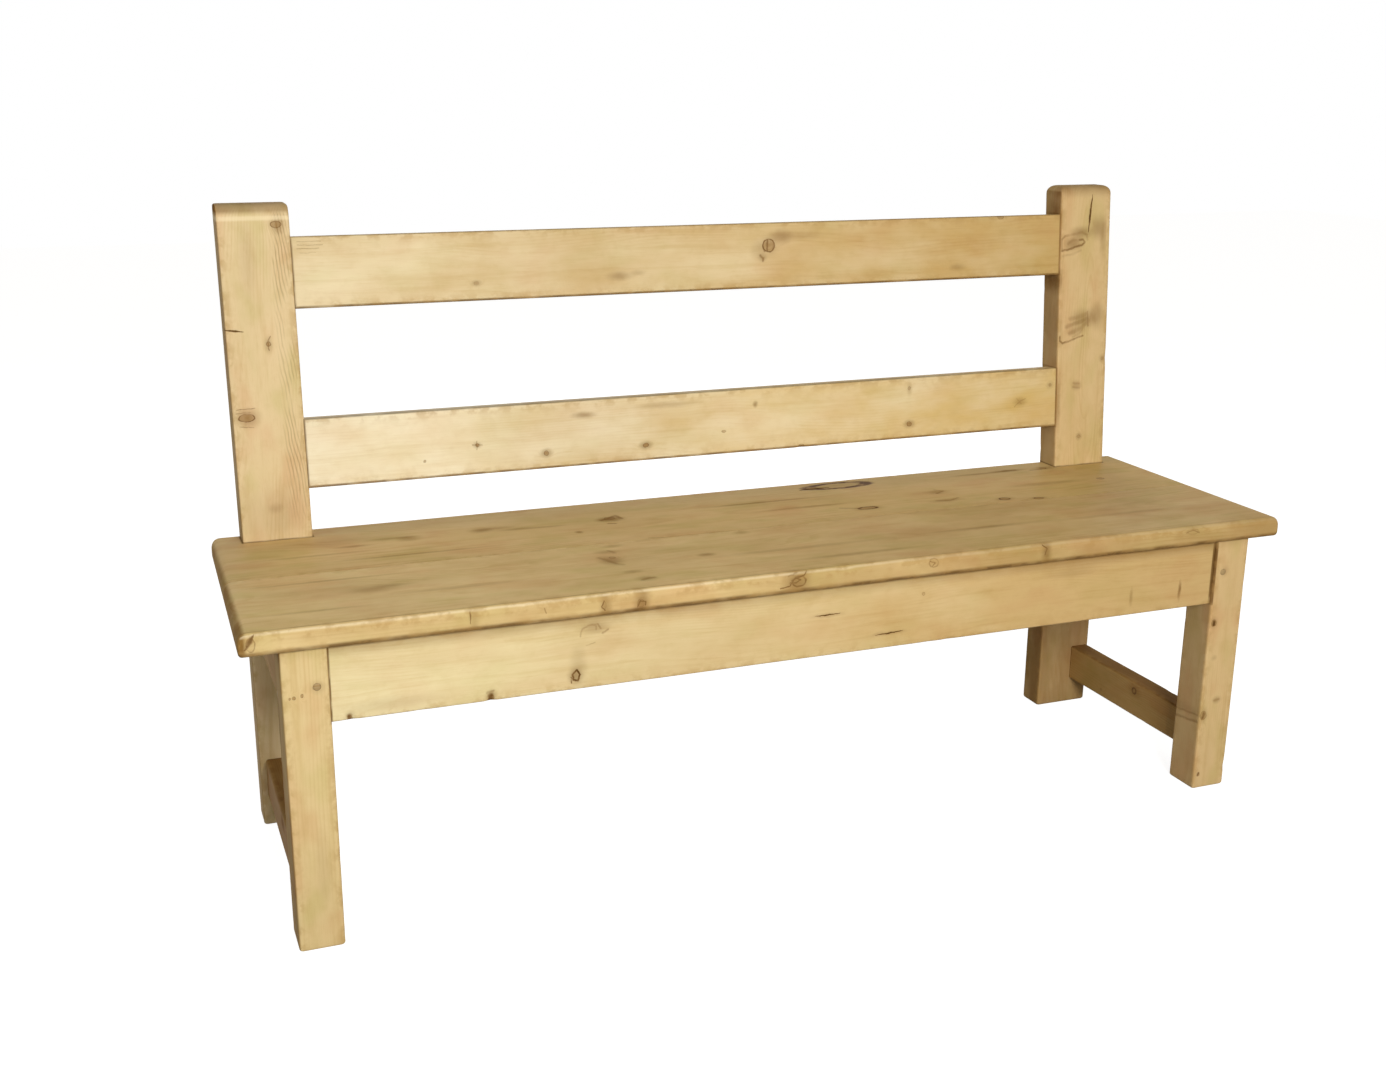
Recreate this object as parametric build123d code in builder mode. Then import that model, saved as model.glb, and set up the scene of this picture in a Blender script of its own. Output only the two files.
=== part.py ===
import os
from math import cos, radians, sin, tan

from build123d import *

# A country bench in solid pine: a plank seat on four legs, with an open back of two flat rails.
# Millimetres. X runs along the bench, Y towards the back, Z up.
# The origin is on the floor, under the middle of the bench's whole length and depth.

# Overall sizes
frame_length = 1476  # over the outer faces of legs and posts
frame_depth = 438  # front face of the legs to rear face of the posts, below the seat
seat_height = 450
back_height = 927
back_lean = 4.6  # degrees that the posts lean back above the seat

# Front legs and rear posts
leg_side = 60
post_width = 100
post_depth = 48
post_bend_radius = 250
post_top_round = 12
foot_bevel = 4
arris = 2.5  # rounding of the long corners of legs, posts, rails and aprons

# Seat
seat_thickness = 30
front_board_width = 222
front_overhang = 11
end_overhang = 45
seat_setback = 4  # rear edge of the seat to the rear face of the posts
seat_edge_round = 8
seat_under_round = 3
seat_corner_round = 10
notch_clearance = 0.4

# Aprons
apron_height = 105
apron_thickness = 28
apron_setback = 5  # long aprons behind the outer faces of legs and posts
side_apron_setback = 7

# Stretchers
stretcher_height = 61
stretcher_thickness = 34
stretcher_lift = 47  # floor to underside
stretcher_setback = 1.5

# Back rails
rail_height = 100
rail_thickness = 30
rail_setback = 3  # behind the front face of the posts
top_rail_drop = 46  # top of the posts to the upper edge of the top rail
lower_rail_lift = 72  # seat to the lower edge of the lower rail

# Mortise and tenon joints
tenon_length = 30
tenon_thickness = 10
rail_tenon_length = 45
rail_tenon_thickness = 12
tenon_shoulder = 12  # wood left above and below a tenon
joint_clearance = 0.15
tenon_end_gap = 1.5

# Pegs
peg_diameter = 10
peg_clearance = 0.08
peg_inset = 16  # middle of a peg past the shoulder of its joint
peg_bite = 8  # length of a peg past the far cheek of the tenon
peg_end_gap = 0.8
side_peg_drop = 20  # pegs of the side aprons below the pegs of the long aprons
rail_peg_spacing = 50

# Cross bearers under the seat
bearer_width = 60
bearer_height = 28
bearer_spacing = 520
bearer_housing = 10  # depth of the notch in each long apron

# Corner blocks
block_reach = 75  # along each apron from the corner of the leg
block_relief = 1  # clear of that corner

# Countersunk wood screws
screw_diameter = 4
screw_head_diameter = 8
screw_point = 6
screw_slot = 1
screw_clearance = 0.08
screw_pocket = 1  # depth of a screw head in its bearer or block
seat_screw_length = 45
seat_screw_offset = 60  # screws of a bearer either side of the joint between the seat boards
seat_screw_pitch = 32  # between two screws side by side in a bearer
seat_screw_inset = 14  # seat screw of a corner block, in from the corner of the leg
block_screw_length = 36
block_screw_bite = 17  # length of a block screw inside the apron
block_screw_reach = 32  # along each apron from the corner of the leg

# Places along Y, with the middle of the whole depth at zero
lean = radians(back_lean)
lean_run = (back_height - seat_height) * tan(lean)
round_reach = post_top_round * (1 / cos(lean) - 1 + tan(lean))  # what the round top takes off the lean
bench_depth = front_overhang + frame_depth + lean_run - round_reach
seat_front = -bench_depth / 2
leg_front = seat_front + front_overhang
leg_rear = leg_front + leg_side
post_rear = leg_front + frame_depth
post_front = post_rear - post_depth
seat_rear = post_rear - seat_setback
seat_joint = seat_front + front_board_width
front_apron_middle = leg_front + apron_setback + apron_thickness / 2
front_apron_inside = front_apron_middle + apron_thickness / 2
rear_apron_middle = post_rear - apron_setback - apron_thickness / 2
rear_apron_inside = rear_apron_middle - apron_thickness / 2

# Places along X, from the middle to the right-hand end
outer = frame_length / 2
leg_inner = outer - leg_side
post_inner = outer - post_width
seat_end = outer + end_overhang
side_apron_middle = outer - side_apron_setback - apron_thickness / 2
side_apron_inside = side_apron_middle - apron_thickness / 2
stretcher_middle = outer - stretcher_setback - stretcher_thickness / 2

# Heights
seat_underside = seat_height - seat_thickness
bearer_underside = seat_underside - bearer_height
apron_centre = seat_underside - apron_height / 2
stretcher_centre = stretcher_lift + stretcher_height / 2
side_peg_centre = apron_centre - side_peg_drop

# The front of the leaning back: local X along the bench, local Y up the slope, local Z forwards
back_face = Plane(origin=(0, post_front, seat_height), x_dir=(1, 0, 0), z_dir=(0, -cos(lean), sin(lean)))
post_thickness = post_depth * cos(lean)  # square to the slope
rail_depth = rail_setback + rail_thickness / 2  # front of the posts to the middle of a rail
top_rail_centre = (back_height - top_rail_drop - seat_height) / cos(lean) - rail_height / 2
lower_rail_centre = lower_rail_lift / cos(lean) + rail_height / 2

UP = Vector(0, 0, 1)
RIGHT = Vector(1, 0, 0)
BACK = Vector(0, 1, 0)
FROM_FACE = (Align.CENTER, Align.CENTER, Align.MIN)
BEHIND_FACE = (Align.CENTER, Align.CENTER, Align.MAX)


def shoulder(x, y, z, into):
    """Shoulder plane of a tenon: local Z runs into the mortise and local Y is up."""
    return Plane(origin=(x, y, z), x_dir=UP.cross(into), z_dir=into)


def back_shoulder(centre):
    """Shoulder plane of a back rail whose middle is this far up the slope of the back."""
    origin = back_face.from_local_coords((post_inner, centre, -rail_depth))
    return Plane(origin=origin, x_dir=-back_face.z_dir, z_dir=RIGHT)


# Joints at the right-hand end. Each tenon is given as thickness, height and length.
apron_tenon = (tenon_thickness, apron_height - 2 * tenon_shoulder, tenon_length)
stretcher_tenon = (tenon_thickness, stretcher_height - 2 * tenon_shoulder, tenon_length)
rail_tenon = (rail_tenon_thickness, rail_height - 2 * tenon_shoulder, rail_tenon_length)
front_apron_joint = shoulder(leg_inner, front_apron_middle, apron_centre, RIGHT)
rear_apron_joint = shoulder(post_inner, rear_apron_middle, apron_centre, RIGHT)
side_apron_front_joint = shoulder(side_apron_middle, leg_rear, apron_centre, -BACK)
side_apron_rear_joint = shoulder(side_apron_middle, post_front, apron_centre, BACK)
stretcher_front_joint = shoulder(stretcher_middle, leg_rear, stretcher_centre, -BACK)
stretcher_rear_joint = shoulder(stretcher_middle, post_front, stretcher_centre, BACK)
top_rail_joint = back_shoulder(top_rail_centre)
lower_rail_joint = back_shoulder(lower_rail_centre)

# Pegs at the right-hand end: the face where each one enters, looking inwards, and its length
cheek = tenon_thickness / 2 + peg_bite
front_peg_length = apron_setback + apron_thickness / 2 + cheek
side_peg_length = side_apron_setback + apron_thickness / 2 + cheek
stretcher_peg_length = stretcher_setback + stretcher_thickness / 2 + cheek
rail_peg_length = post_thickness - rail_depth + rail_tenon_thickness / 2 + peg_bite
leg_peg_y = leg_rear - peg_inset
post_peg_y = post_front + peg_inset
front_apron_peg = Plane(origin=(leg_inner + peg_inset, leg_front, apron_centre), z_dir=BACK)
rear_apron_peg = Plane(origin=(post_inner + peg_inset, post_rear, apron_centre), z_dir=-BACK)
side_apron_front_peg = Plane(origin=(outer, leg_peg_y, side_peg_centre), z_dir=-RIGHT)
side_apron_rear_peg = Plane(origin=(outer, post_peg_y, side_peg_centre), z_dir=-RIGHT)
stretcher_front_peg = Plane(origin=(outer, leg_peg_y, stretcher_centre), z_dir=-RIGHT)
stretcher_rear_peg = Plane(origin=(outer, post_peg_y, stretcher_centre), z_dir=-RIGHT)


def back_pegs(centre):
    """The two pegs of a back rail, driven in from the rear face of the post."""
    mouths = []
    for step in (-rail_peg_spacing / 2, rail_peg_spacing / 2):
        spot = back_face.from_local_coords((post_inner + peg_inset, centre + step, -post_thickness))
        mouths.append(Plane(origin=spot, z_dir=back_face.z_dir))
    return mouths


# Screws: the plane of each head, looking along the screw
seat_screw_spots = []
for side in (-1, 1):
    for across in (-seat_screw_pitch / 2, seat_screw_pitch / 2):
        for from_joint in (-seat_screw_offset, seat_screw_offset):
            seat_screw_spots.append((side * bearer_spacing / 2 + across, seat_joint + from_joint))
    seat_screw_spots.append((side * (leg_inner - seat_screw_inset), leg_rear + seat_screw_inset))
    seat_screw_spots.append((side * (post_inner - seat_screw_inset), post_front - seat_screw_inset))
seat_screw_heads = []
for x, y in seat_screw_spots:
    seat_screw_heads.append(Plane(origin=(x, y, bearer_underside + screw_pocket), z_dir=UP))

block_centre = seat_underside - bearer_height / 2
head_from_apron = block_screw_length - block_screw_bite
block_screw_heads = []
for side in (-1, 1):
    front_x = side * (leg_inner - block_screw_reach)
    rear_x = side * (post_inner - block_screw_reach)
    side_x = side * (side_apron_inside - head_from_apron)
    front_y = front_apron_inside + head_from_apron
    rear_y = rear_apron_inside - head_from_apron
    block_screw_heads += [
        Plane(origin=(front_x, front_y, block_centre), z_dir=-BACK),
        Plane(origin=(rear_x, rear_y, block_centre), z_dir=BACK),
        Plane(origin=(side_x, leg_rear + block_screw_reach, block_centre), z_dir=side * RIGHT),
        Plane(origin=(side_x, post_front - block_screw_reach, block_centre), z_dir=side * RIGHT),
    ]


def add_tenon(joint, size):
    """Adds a tenon to the piece being made."""
    with Locations(joint):
        Box(*size, align=FROM_FACE)


def cut_mortise(joint, size):
    """Cuts the mortise for a tenon of this size."""
    thickness, height, length = size
    play = 2 * joint_clearance
    with Locations(joint):
        Box(thickness + play, height + play, length + tenon_end_gap, align=FROM_FACE, mode=Mode.SUBTRACT)


def bore_for_peg(mouth, length):
    """Bores the blind hole of a peg."""
    with Locations(mouth):
        Cylinder(peg_diameter / 2 + peg_clearance, length + peg_end_gap, align=FROM_FACE, mode=Mode.SUBTRACT)


def screw_body(length, clearance=0, pocket=0):
    """A countersunk screw, head at zero and point up; with a clearance and a pocket, the hole it sits in."""
    head = screw_head_diameter / 2 + clearance
    shank = screw_diameter / 2 + clearance
    with BuildPart() as body:
        with BuildSketch(Plane.XZ):
            with BuildLine():
                Polyline(
                    (0, -pocket),
                    (head, -pocket),
                    (head, clearance),
                    (shank, head - shank + clearance),
                    (shank, length - screw_point + clearance),
                    (0, length + clearance),
                    close=True,
                )
            make_face()
        revolve(axis=Axis.Z)
    return body.part


def screw_group(heads, length):
    """All the slotted screws of one length, each a separate solid."""
    with BuildPart() as screw:
        add(screw_body(length, pocket=screw_slot))
        with Locations((0, 0, -screw_slot)):
            Box(screw_head_diameter, screw_slot, screw_slot, align=FROM_FACE, mode=Mode.SUBTRACT)
    with BuildPart() as group:
        with Locations(*heads):
            add(screw.part)
    return group


def long_rail(joint, thickness, height, half_length, tenon, pegs, peg_length):
    """A rail between two legs or posts: its right-hand half with the tenon, mirrored to the left."""
    with BuildPart() as rail:
        with Locations(joint):
            Box(thickness, height, half_length, align=BEHIND_FACE)
        add_tenon(joint, tenon)
        for mouth in pegs:
            bore_for_peg(mouth, peg_length)
        mirror(about=Plane.YZ)
        fillet(rail.edges().sort_by(SortBy.LENGTH)[-4:], radius=arris)
    return rail


def short_rail(front_joint, rear_joint, thickness, height, tenon, pegs, peg_length):
    """A rail from a front leg back to a rear post."""
    with BuildPart() as rail:
        with Locations(front_joint):
            Box(thickness, height, post_front - leg_rear, align=BEHIND_FACE)
        fillet(rail.edges().filter_by(Axis.Y), radius=arris)
        add_tenon(front_joint, tenon)
        add_tenon(rear_joint, tenon)
        for mouth in pegs:
            bore_for_peg(mouth, peg_length)
    return rail


def mirror_image(piece):
    """The same piece for the left-hand end."""
    with BuildPart() as left_piece:
        add(mirror(piece.part, about=Plane.YZ, mode=Mode.PRIVATE))
    return left_piece


def write(piece, name):
    """Labels a finished piece and writes its file."""
    piece.part.label = name
    export_step(piece.part, f"parts/{name}.step")


os.makedirs("parts", exist_ok=True)

# Rear posts: one piece from floor to top, sawn with a bend at the seat so that the back leans
with BuildPart() as rear_post_right:
    with BuildSketch(Plane.YZ.offset(post_inner)) as side_view:
        with BuildLine():
            Polyline(
                (post_rear, 0),
                (post_front, 0),
                (post_front, seat_height),
                (post_front + lean_run, back_height),
                (post_rear + lean_run, back_height),
                (post_rear, seat_height),
                close=True,
            )
        make_face()
        fillet(side_view.vertices().group_by(Axis.Y)[1], radius=post_bend_radius)
        fillet(side_view.vertices().group_by(Axis.Y)[-1], radius=post_top_round)
    extrude(amount=post_width)
    chamfer(rear_post_right.edges().group_by(Axis.Z)[0], length=foot_bevel)
    outlines = rear_post_right.faces().filter_by(Axis.X).edges()
    fillet([edge for edge in outlines if edge.center().Z > foot_bevel], radius=arris)
    cut_mortise(rear_apron_joint, apron_tenon)
    cut_mortise(side_apron_rear_joint, apron_tenon)
    cut_mortise(stretcher_rear_joint, stretcher_tenon)
    cut_mortise(top_rail_joint, rail_tenon)
    cut_mortise(lower_rail_joint, rail_tenon)
    bore_for_peg(rear_apron_peg, front_peg_length)
    bore_for_peg(side_apron_rear_peg, side_peg_length)
    bore_for_peg(stretcher_rear_peg, stretcher_peg_length)
    for mouth in back_pegs(top_rail_centre) + back_pegs(lower_rail_centre):
        bore_for_peg(mouth, rail_peg_length)
write(rear_post_right, "rear_post_right")
write(mirror_image(rear_post_right), "rear_post_left")

# Front legs: square, with bevelled feet; they end under the seat
with BuildPart() as front_leg_right:
    with BuildSketch():
        with Locations((leg_inner + leg_side / 2, leg_front + leg_side / 2)):
            Rectangle(leg_side, leg_side)
    extrude(amount=seat_underside)
    chamfer(front_leg_right.edges().group_by(Axis.Z)[0], length=foot_bevel)
    fillet(front_leg_right.edges().filter_by(Axis.Z), radius=arris)
    cut_mortise(front_apron_joint, apron_tenon)
    cut_mortise(side_apron_front_joint, apron_tenon)
    cut_mortise(stretcher_front_joint, stretcher_tenon)
    bore_for_peg(front_apron_peg, front_peg_length)
    bore_for_peg(side_apron_front_peg, side_peg_length)
    bore_for_peg(stretcher_front_peg, stretcher_peg_length)
write(front_leg_right, "front_leg_right")
write(mirror_image(front_leg_right), "front_leg_left")

# Back rails: flat boards that lie in the slope of the posts
for name, joint, centre in (
    ("top_back_rail", top_rail_joint, top_rail_centre),
    ("lower_back_rail", lower_rail_joint, lower_rail_centre),
):
    mouths = back_pegs(centre)
    rail = long_rail(joint, rail_thickness, rail_height, post_inner, rail_tenon, mouths, rail_peg_length)
    write(rail, name)

# Long aprons, notched on the inside for the cross bearers
for name, joint, half_length, mouth, inside, towards_back in (
    ("front_apron", front_apron_joint, leg_inner, front_apron_peg, front_apron_inside, -1),
    ("rear_apron", rear_apron_joint, post_inner, rear_apron_peg, rear_apron_inside, 1),
):
    plain_apron = long_rail(
        joint, apron_thickness, apron_height, half_length, apron_tenon, [mouth], front_peg_length
    )
    with BuildPart() as apron:
        add(plain_apron.part)
        notch_middle = inside + towards_back * bearer_housing / 2
        with Locations(
            (-bearer_spacing / 2, notch_middle, bearer_underside),
            (bearer_spacing / 2, notch_middle, bearer_underside),
        ):
            Box(
                bearer_width + 2 * joint_clearance,
                bearer_housing,
                bearer_height,
                align=FROM_FACE,
                mode=Mode.SUBTRACT,
            )
        with Locations(*block_screw_heads):
            add(screw_body(block_screw_length, screw_clearance), mode=Mode.SUBTRACT)
    write(apron, name)

# Side aprons, under the ends of the seat
side_apron_pegs = [side_apron_front_peg, side_apron_rear_peg]
plain_side_apron = short_rail(
    side_apron_front_joint,
    side_apron_rear_joint,
    apron_thickness,
    apron_height,
    apron_tenon,
    side_apron_pegs,
    side_peg_length,
)
with BuildPart() as side_apron_right:
    add(plain_side_apron.part)
    with Locations(*block_screw_heads):
        add(screw_body(block_screw_length, screw_clearance), mode=Mode.SUBTRACT)
write(side_apron_right, "side_apron_right")
write(mirror_image(side_apron_right), "side_apron_left")

# Stretchers, low down between front leg and rear post
stretcher_pegs = [stretcher_front_peg, stretcher_rear_peg]
stretcher_right = short_rail(
    stretcher_front_joint,
    stretcher_rear_joint,
    stretcher_thickness,
    stretcher_height,
    stretcher_tenon,
    stretcher_pegs,
    stretcher_peg_length,
)
write(stretcher_right, "stretcher_right")
write(mirror_image(stretcher_right), "stretcher_left")

# Seat: a front and a rear board, glued edge to edge, the rear one notched round the posts
for name, front_edge, rear_edge in (
    ("seat_board_front", seat_front, seat_joint),
    ("seat_board_rear", seat_joint, seat_rear),
):
    with BuildPart() as board:
        with BuildSketch(Plane.XY.offset(seat_underside)) as plan:
            with Locations((0, (front_edge + rear_edge) / 2)):
                Rectangle(2 * seat_end, rear_edge - front_edge)
            free_side = 0 if front_edge == seat_front else -1
            fillet(plan.vertices().group_by(Axis.Y)[free_side], radius=seat_corner_round)
        extrude(amount=seat_thickness)
        glued_side = -1 if front_edge == seat_front else 0
        for level, radius in ((-1, seat_edge_round), (0, seat_under_round)):
            outline = board.faces().sort_by(Axis.Z)[level].edges()
            glued_edge = outline.filter_by(Axis.X).sort_by(Axis.Y)[glued_side]
            fillet([edge for edge in outline if edge != glued_edge], radius=radius)
        for side in (-1, 1):
            with Locations((side * (post_inner + post_width / 2), post_front - notch_clearance, seat_underside)):
                Box(
                    post_width + 2 * notch_clearance,
                    frame_depth,
                    seat_thickness,
                    align=(Align.CENTER, Align.MIN, Align.MIN),
                    mode=Mode.SUBTRACT,
                )
        with Locations(*seat_screw_heads):
            add(screw_body(seat_screw_length, screw_clearance), mode=Mode.SUBTRACT)
    write(board, name)

# Cross bearers, let into the long aprons and screwed up into both seat boards
bearer_length = rear_apron_inside - front_apron_inside + 2 * bearer_housing - 2 * joint_clearance
bearer_y = (front_apron_inside + rear_apron_inside) / 2
with BuildPart() as cross_bearer_right:
    with Locations((bearer_spacing / 2, bearer_y, bearer_underside)):
        Box(bearer_width, bearer_length, bearer_height, align=FROM_FACE)
    chamfer(cross_bearer_right.edges().filter_by(Axis.Y).group_by(Axis.Z)[0], length=arris)
    with Locations(*seat_screw_heads):
        add(screw_body(seat_screw_length, screw_clearance, 2 * screw_pocket), mode=Mode.SUBTRACT)
write(cross_bearer_right, "cross_bearer_right")
write(mirror_image(cross_bearer_right), "cross_bearer_left")

# Corner blocks, glued and screwed in the four corners of the apron frame
for name, corner_x, corner_y, apron_face, away in (
    ("corner_block_front", leg_inner, leg_rear, front_apron_inside, 1),
    ("corner_block_rear", post_inner, post_front, rear_apron_inside, -1),
):
    with BuildPart() as corner_block:
        with BuildSketch(Plane.XY.offset(bearer_underside)):
            with BuildLine():
                Polyline(
                    (corner_x - block_reach, apron_face),
                    (corner_x - block_relief, apron_face),
                    (corner_x - block_relief, corner_y + away * block_relief),
                    (side_apron_inside, corner_y + away * block_relief),
                    (side_apron_inside, corner_y + away * block_reach),
                    close=True,
                )
            make_face()
        extrude(amount=bearer_height)
        with Locations(*seat_screw_heads):
            add(screw_body(seat_screw_length, screw_clearance, 2 * screw_pocket), mode=Mode.SUBTRACT)
        with Locations(*block_screw_heads):
            add(screw_body(block_screw_length, screw_clearance, block_reach), mode=Mode.SUBTRACT)
    write(corner_block, f"{name}_right")
    write(mirror_image(corner_block), f"{name}_left")

# Pegs, each flush with the face that it was driven into
for name, mouths, length in (
    ("apron_pegs", [front_apron_peg, rear_apron_peg], front_peg_length),
    ("side_apron_pegs", side_apron_pegs, side_peg_length),
    ("stretcher_pegs", stretcher_pegs, stretcher_peg_length),
    ("back_rail_pegs", back_pegs(top_rail_centre) + back_pegs(lower_rail_centre), rail_peg_length),
):
    with BuildPart() as pegs:
        with Locations(*mouths):
            Cylinder(peg_diameter / 2, length, align=FROM_FACE)
        mirror(about=Plane.YZ)
    write(pegs, name)

# Screws, with their heads a little below the wood
write(screw_group(seat_screw_heads, seat_screw_length), "seat_screws")
write(screw_group(block_screw_heads, block_screw_length), "block_screws")
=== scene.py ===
import bmesh
import bpy
from math import cos, pi, radians, sin, sqrt, tan
from mathutils import Matrix, Vector, noise


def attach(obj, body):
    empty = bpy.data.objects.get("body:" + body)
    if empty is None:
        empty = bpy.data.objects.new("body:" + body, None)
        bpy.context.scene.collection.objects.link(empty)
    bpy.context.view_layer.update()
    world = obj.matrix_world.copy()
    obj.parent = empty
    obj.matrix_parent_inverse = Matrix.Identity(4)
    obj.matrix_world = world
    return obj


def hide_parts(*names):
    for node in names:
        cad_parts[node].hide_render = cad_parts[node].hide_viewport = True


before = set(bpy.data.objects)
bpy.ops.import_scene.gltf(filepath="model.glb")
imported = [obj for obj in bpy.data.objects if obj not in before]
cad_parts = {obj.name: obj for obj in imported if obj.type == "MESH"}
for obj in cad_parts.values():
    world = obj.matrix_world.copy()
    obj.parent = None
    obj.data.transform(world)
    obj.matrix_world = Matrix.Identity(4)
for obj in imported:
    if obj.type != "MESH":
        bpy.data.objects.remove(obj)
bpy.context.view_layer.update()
scene = bpy.context.scene
scene.view_settings.view_transform = "Standard"

# ---------------------------------------------------------------- rear posts
# Two planks of pine stood on end, sawn with a bend at the seat so that the back leans.
# Their tops are rounded over by hand, and every rail and apron is morticed into them and pegged.
# Sizes are in millimetres. The front of the bench looks along -Y, and right is +X.
post_inner, post_outer = 638, 738
post_front, post_rear = 157.81, 205.81
post_height = 927
seat_top = 450
lean = radians(4.6)
bend_radius = 250
mortice_depth, half_mortice = 31.5, 5.15
apron_mortice, stretcher_mortice = (326.85, 408.15), (58.85, 96.15)
side_apron_middle, stretcher_middle, rear_apron_middle = 717, 719.5, 186.81
rail_middles = (382.39, 122.23)
rail_mortice, half_rail_mortice = (11.85, 24.15), 38.15
peg_hole, peg_inset, rail_peg_step = 10.3, 16, 25
rail_peg_mouth = -47.845
apron_peg_height, side_apron_peg_height, stretcher_peg_height = 367.5, 347.5, 77.5
apron_peg_depth, side_apron_peg_depth, stretcher_peg_depth, rail_peg_depth = 32.8, 34.8, 32.3, 44.6


def outline(box, rounds, fill):
    """One cross-section: its points in order round the piece, and how near each one is to an arris."""
    low_u, high_u, low_v, high_v = box
    widest = 0.499 * min(high_u - low_u, high_v - low_v)
    arcs = []
    for corner in range(4):
        radius = min(rounds[corner], widest)
        centre_u = low_u + radius if corner in (0, 3) else high_u - radius
        centre_v = low_v + radius if corner in (0, 1) else high_v - radius
        start = pi + corner * pi / 2
        arcs.append([(centre_u + radius * cos(start + step * pi / 10),
                      centre_v + radius * sin(start + step * pi / 10)) for step in range(6)])
    points, nearness = [], []
    for corner in range(4):
        points += arcs[corner]
        nearness += [1.0] * 6
        begin, end = arcs[corner][-1], arcs[(corner + 1) % 4][0]
        length = sqrt((end[0] - begin[0]) ** 2 + (end[1] - begin[1]) ** 2)
        close, clear = min(3, 0.15 * length), min(9, 0.35 * length)
        middle = fill[corner % 2]
        spots = [close, clear]
        spots += [clear + (length - 2 * clear) * (step + 1) / (middle + 1) for step in range(middle)]
        spots += [length - clear, length - close]
        for spot in spots:
            share = spot / length
            points.append((begin[0] + (end[0] - begin[0]) * share, begin[1] + (end[1] - begin[1]) * share))
        nearness += [0.6, 0.15] + [0.0] * middle + [0.15, 0.6]
    return points, nearness


def drawn_in(distance, radius):
    """How far a rounded end draws a side in, at this distance from the end."""
    if distance >= radius:
        return 0.0
    return radius - sqrt(radius ** 2 - (radius - distance) ** 2)


def wavering(along, row, seed, length):
    """A number from about -1 to 1 that changes slowly along a piece."""
    return noise.noise(Vector((along / length, 11.3 * row + 0.37, 3.1 * seed + 0.71)))


def timber(name, place, box, span, rounds, seed, *, fill, low_end=(0,) * 4, high_end=(0,) * 4,
           low_tenon=None, high_tenon=None, spread=0.35, nicks=()):
    """A planed piece of wood with hand-eased arrises: a row of cross-sections skinned into one closed mesh.

    box is its section and span its two ends. rounds are the radii of its four arrises, low_end and high_end
    those of its ends on each side, and a tenon is its own section and length. fill says how many points
    stand along its wide and narrow sides, spread how unevenly it was eased, and seed which unevenness it
    gets. nicks are bruises on an arris: place, which arris, how much rounder, and how long.
    """
    low, high = span
    reach_low, reach_high = max(low_end), max(high_end)
    stations = {low, high}
    for share in (0.02, 0.08, 0.18, 0.32, 0.5, 0.72, 1.0):
        stations.add(low + reach_low * share)
        stations.add(high - reach_high * share)
    begin, end = low + reach_low, high - reach_high
    steps = max(2, round((end - begin) / 9))
    stations.update(begin + (end - begin) * step / steps for step in range(1, steps))
    rings = []
    for along in sorted(stations):
        sides = []
        for side in range(4):
            inward = drawn_in(along - low, low_end[side]) + drawn_in(high - along, high_end[side])
            inward += 0.12 * (1 + wavering(along, side + 20, seed, 210))
            sides.append(box[side] + (inward if side % 2 == 0 else -inward))
        eased = []
        for corner in range(4):
            radius = rounds[corner] * (1 + spread * wavering(along, corner, seed, 150))
            radius += max(0, wavering(along, corner + 8, seed, 24) - 0.42) * 5 * spread * rounds[corner]
            for spot, arris, deeper, length in nicks:
                if arris == corner:
                    radius += deeper * 2.718 ** -(((along - spot) / length) ** 2)
            eased.append(max(0.3, radius))
        rings.append((along, *outline(sides, eased, fill)))
    for tenon, at, way in ((low_tenon, low, -1), (high_tenon, high, 1)):
        if tenon:
            section, length = tenon
            points, nearness = outline(section, (0.4,) * 4, fill)
            root = (at, points, [0.0] * len(points))
            tip = (at + way * length, points, [0.0] * len(points))
            rings = [tip, root] + rings if way < 0 else rings + [root, tip]
    count = len(rings[0][1])
    mesh = bpy.data.meshes.new(name)
    vertices = [place(along, u, v) * 0.001 for along, points, _ in rings for u, v in points]
    faces = [tuple(reversed(range(count))), tuple(range(count * (len(rings) - 1), count * len(rings)))]
    for ring in range(len(rings) - 1):
        for step in range(count):
            after = (step + 1) % count
            faces.append((ring * count + step, ring * count + after,
                          (ring + 1) * count + after, (ring + 1) * count + step))
    mesh.from_pydata(vertices, [], faces)
    worn = mesh.attributes.new("arris", "FLOAT", "POINT")
    worn.data.foreach_set("value", [near for ring in rings for near in ring[2]])
    piece = bpy.data.objects.new(name, mesh)
    scene.collection.objects.link(piece)
    return piece


def block(cutter, one, other, turn=None):
    """Adds a straight-sided hole to a cutter, between two opposite corners."""
    low, high = (Vector([choose(pair) for pair in zip(one, other)]) * 0.001 for choose in (min, max))
    for vertex in bmesh.ops.create_cube(cutter, size=1)["verts"]:
        vertex.co = Vector([low[i] + (high[i] - low[i]) * (vertex.co[i] + 0.5) for i in range(3)])
        if turn:
            vertex.co = turn @ vertex.co


def drill(cutter, mouth, way, diameter, depth):
    """Adds a round blind hole to a cutter, from just outside its mouth."""
    way = Vector(way).normalized()
    middle = (Vector(mouth) + way * (depth - 1) / 2) * 0.001
    turn = way.to_track_quat("Z", "Y").to_matrix().to_4x4()
    radius = diameter / 2000
    bmesh.ops.create_cone(cutter, cap_ends=True, segments=28, radius1=radius, radius2=radius,
                          depth=(depth + 1) * 0.001, matrix=Matrix.Translation(middle) @ turn)


def long_apron_mortice(cutter, side, inner, y):
    """Adds the mortice of a long apron, cut into the inner face of a leg or post."""
    block(cutter, (side * (inner - 1), y - half_mortice, apron_mortice[0]),
          (side * (inner + mortice_depth), y + half_mortice, apron_mortice[1]))


def side_mortices(cutter, side, face, way):
    """Adds the mortices of a side apron and a stretcher, cut this way into this face of a leg or post."""
    for middle, (low, high) in ((side_apron_middle, apron_mortice), (stretcher_middle, stretcher_mortice)):
        block(cutter, (side * middle - half_mortice, face - way, low),
              (side * middle + half_mortice, face + way * mortice_depth, high))


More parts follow.
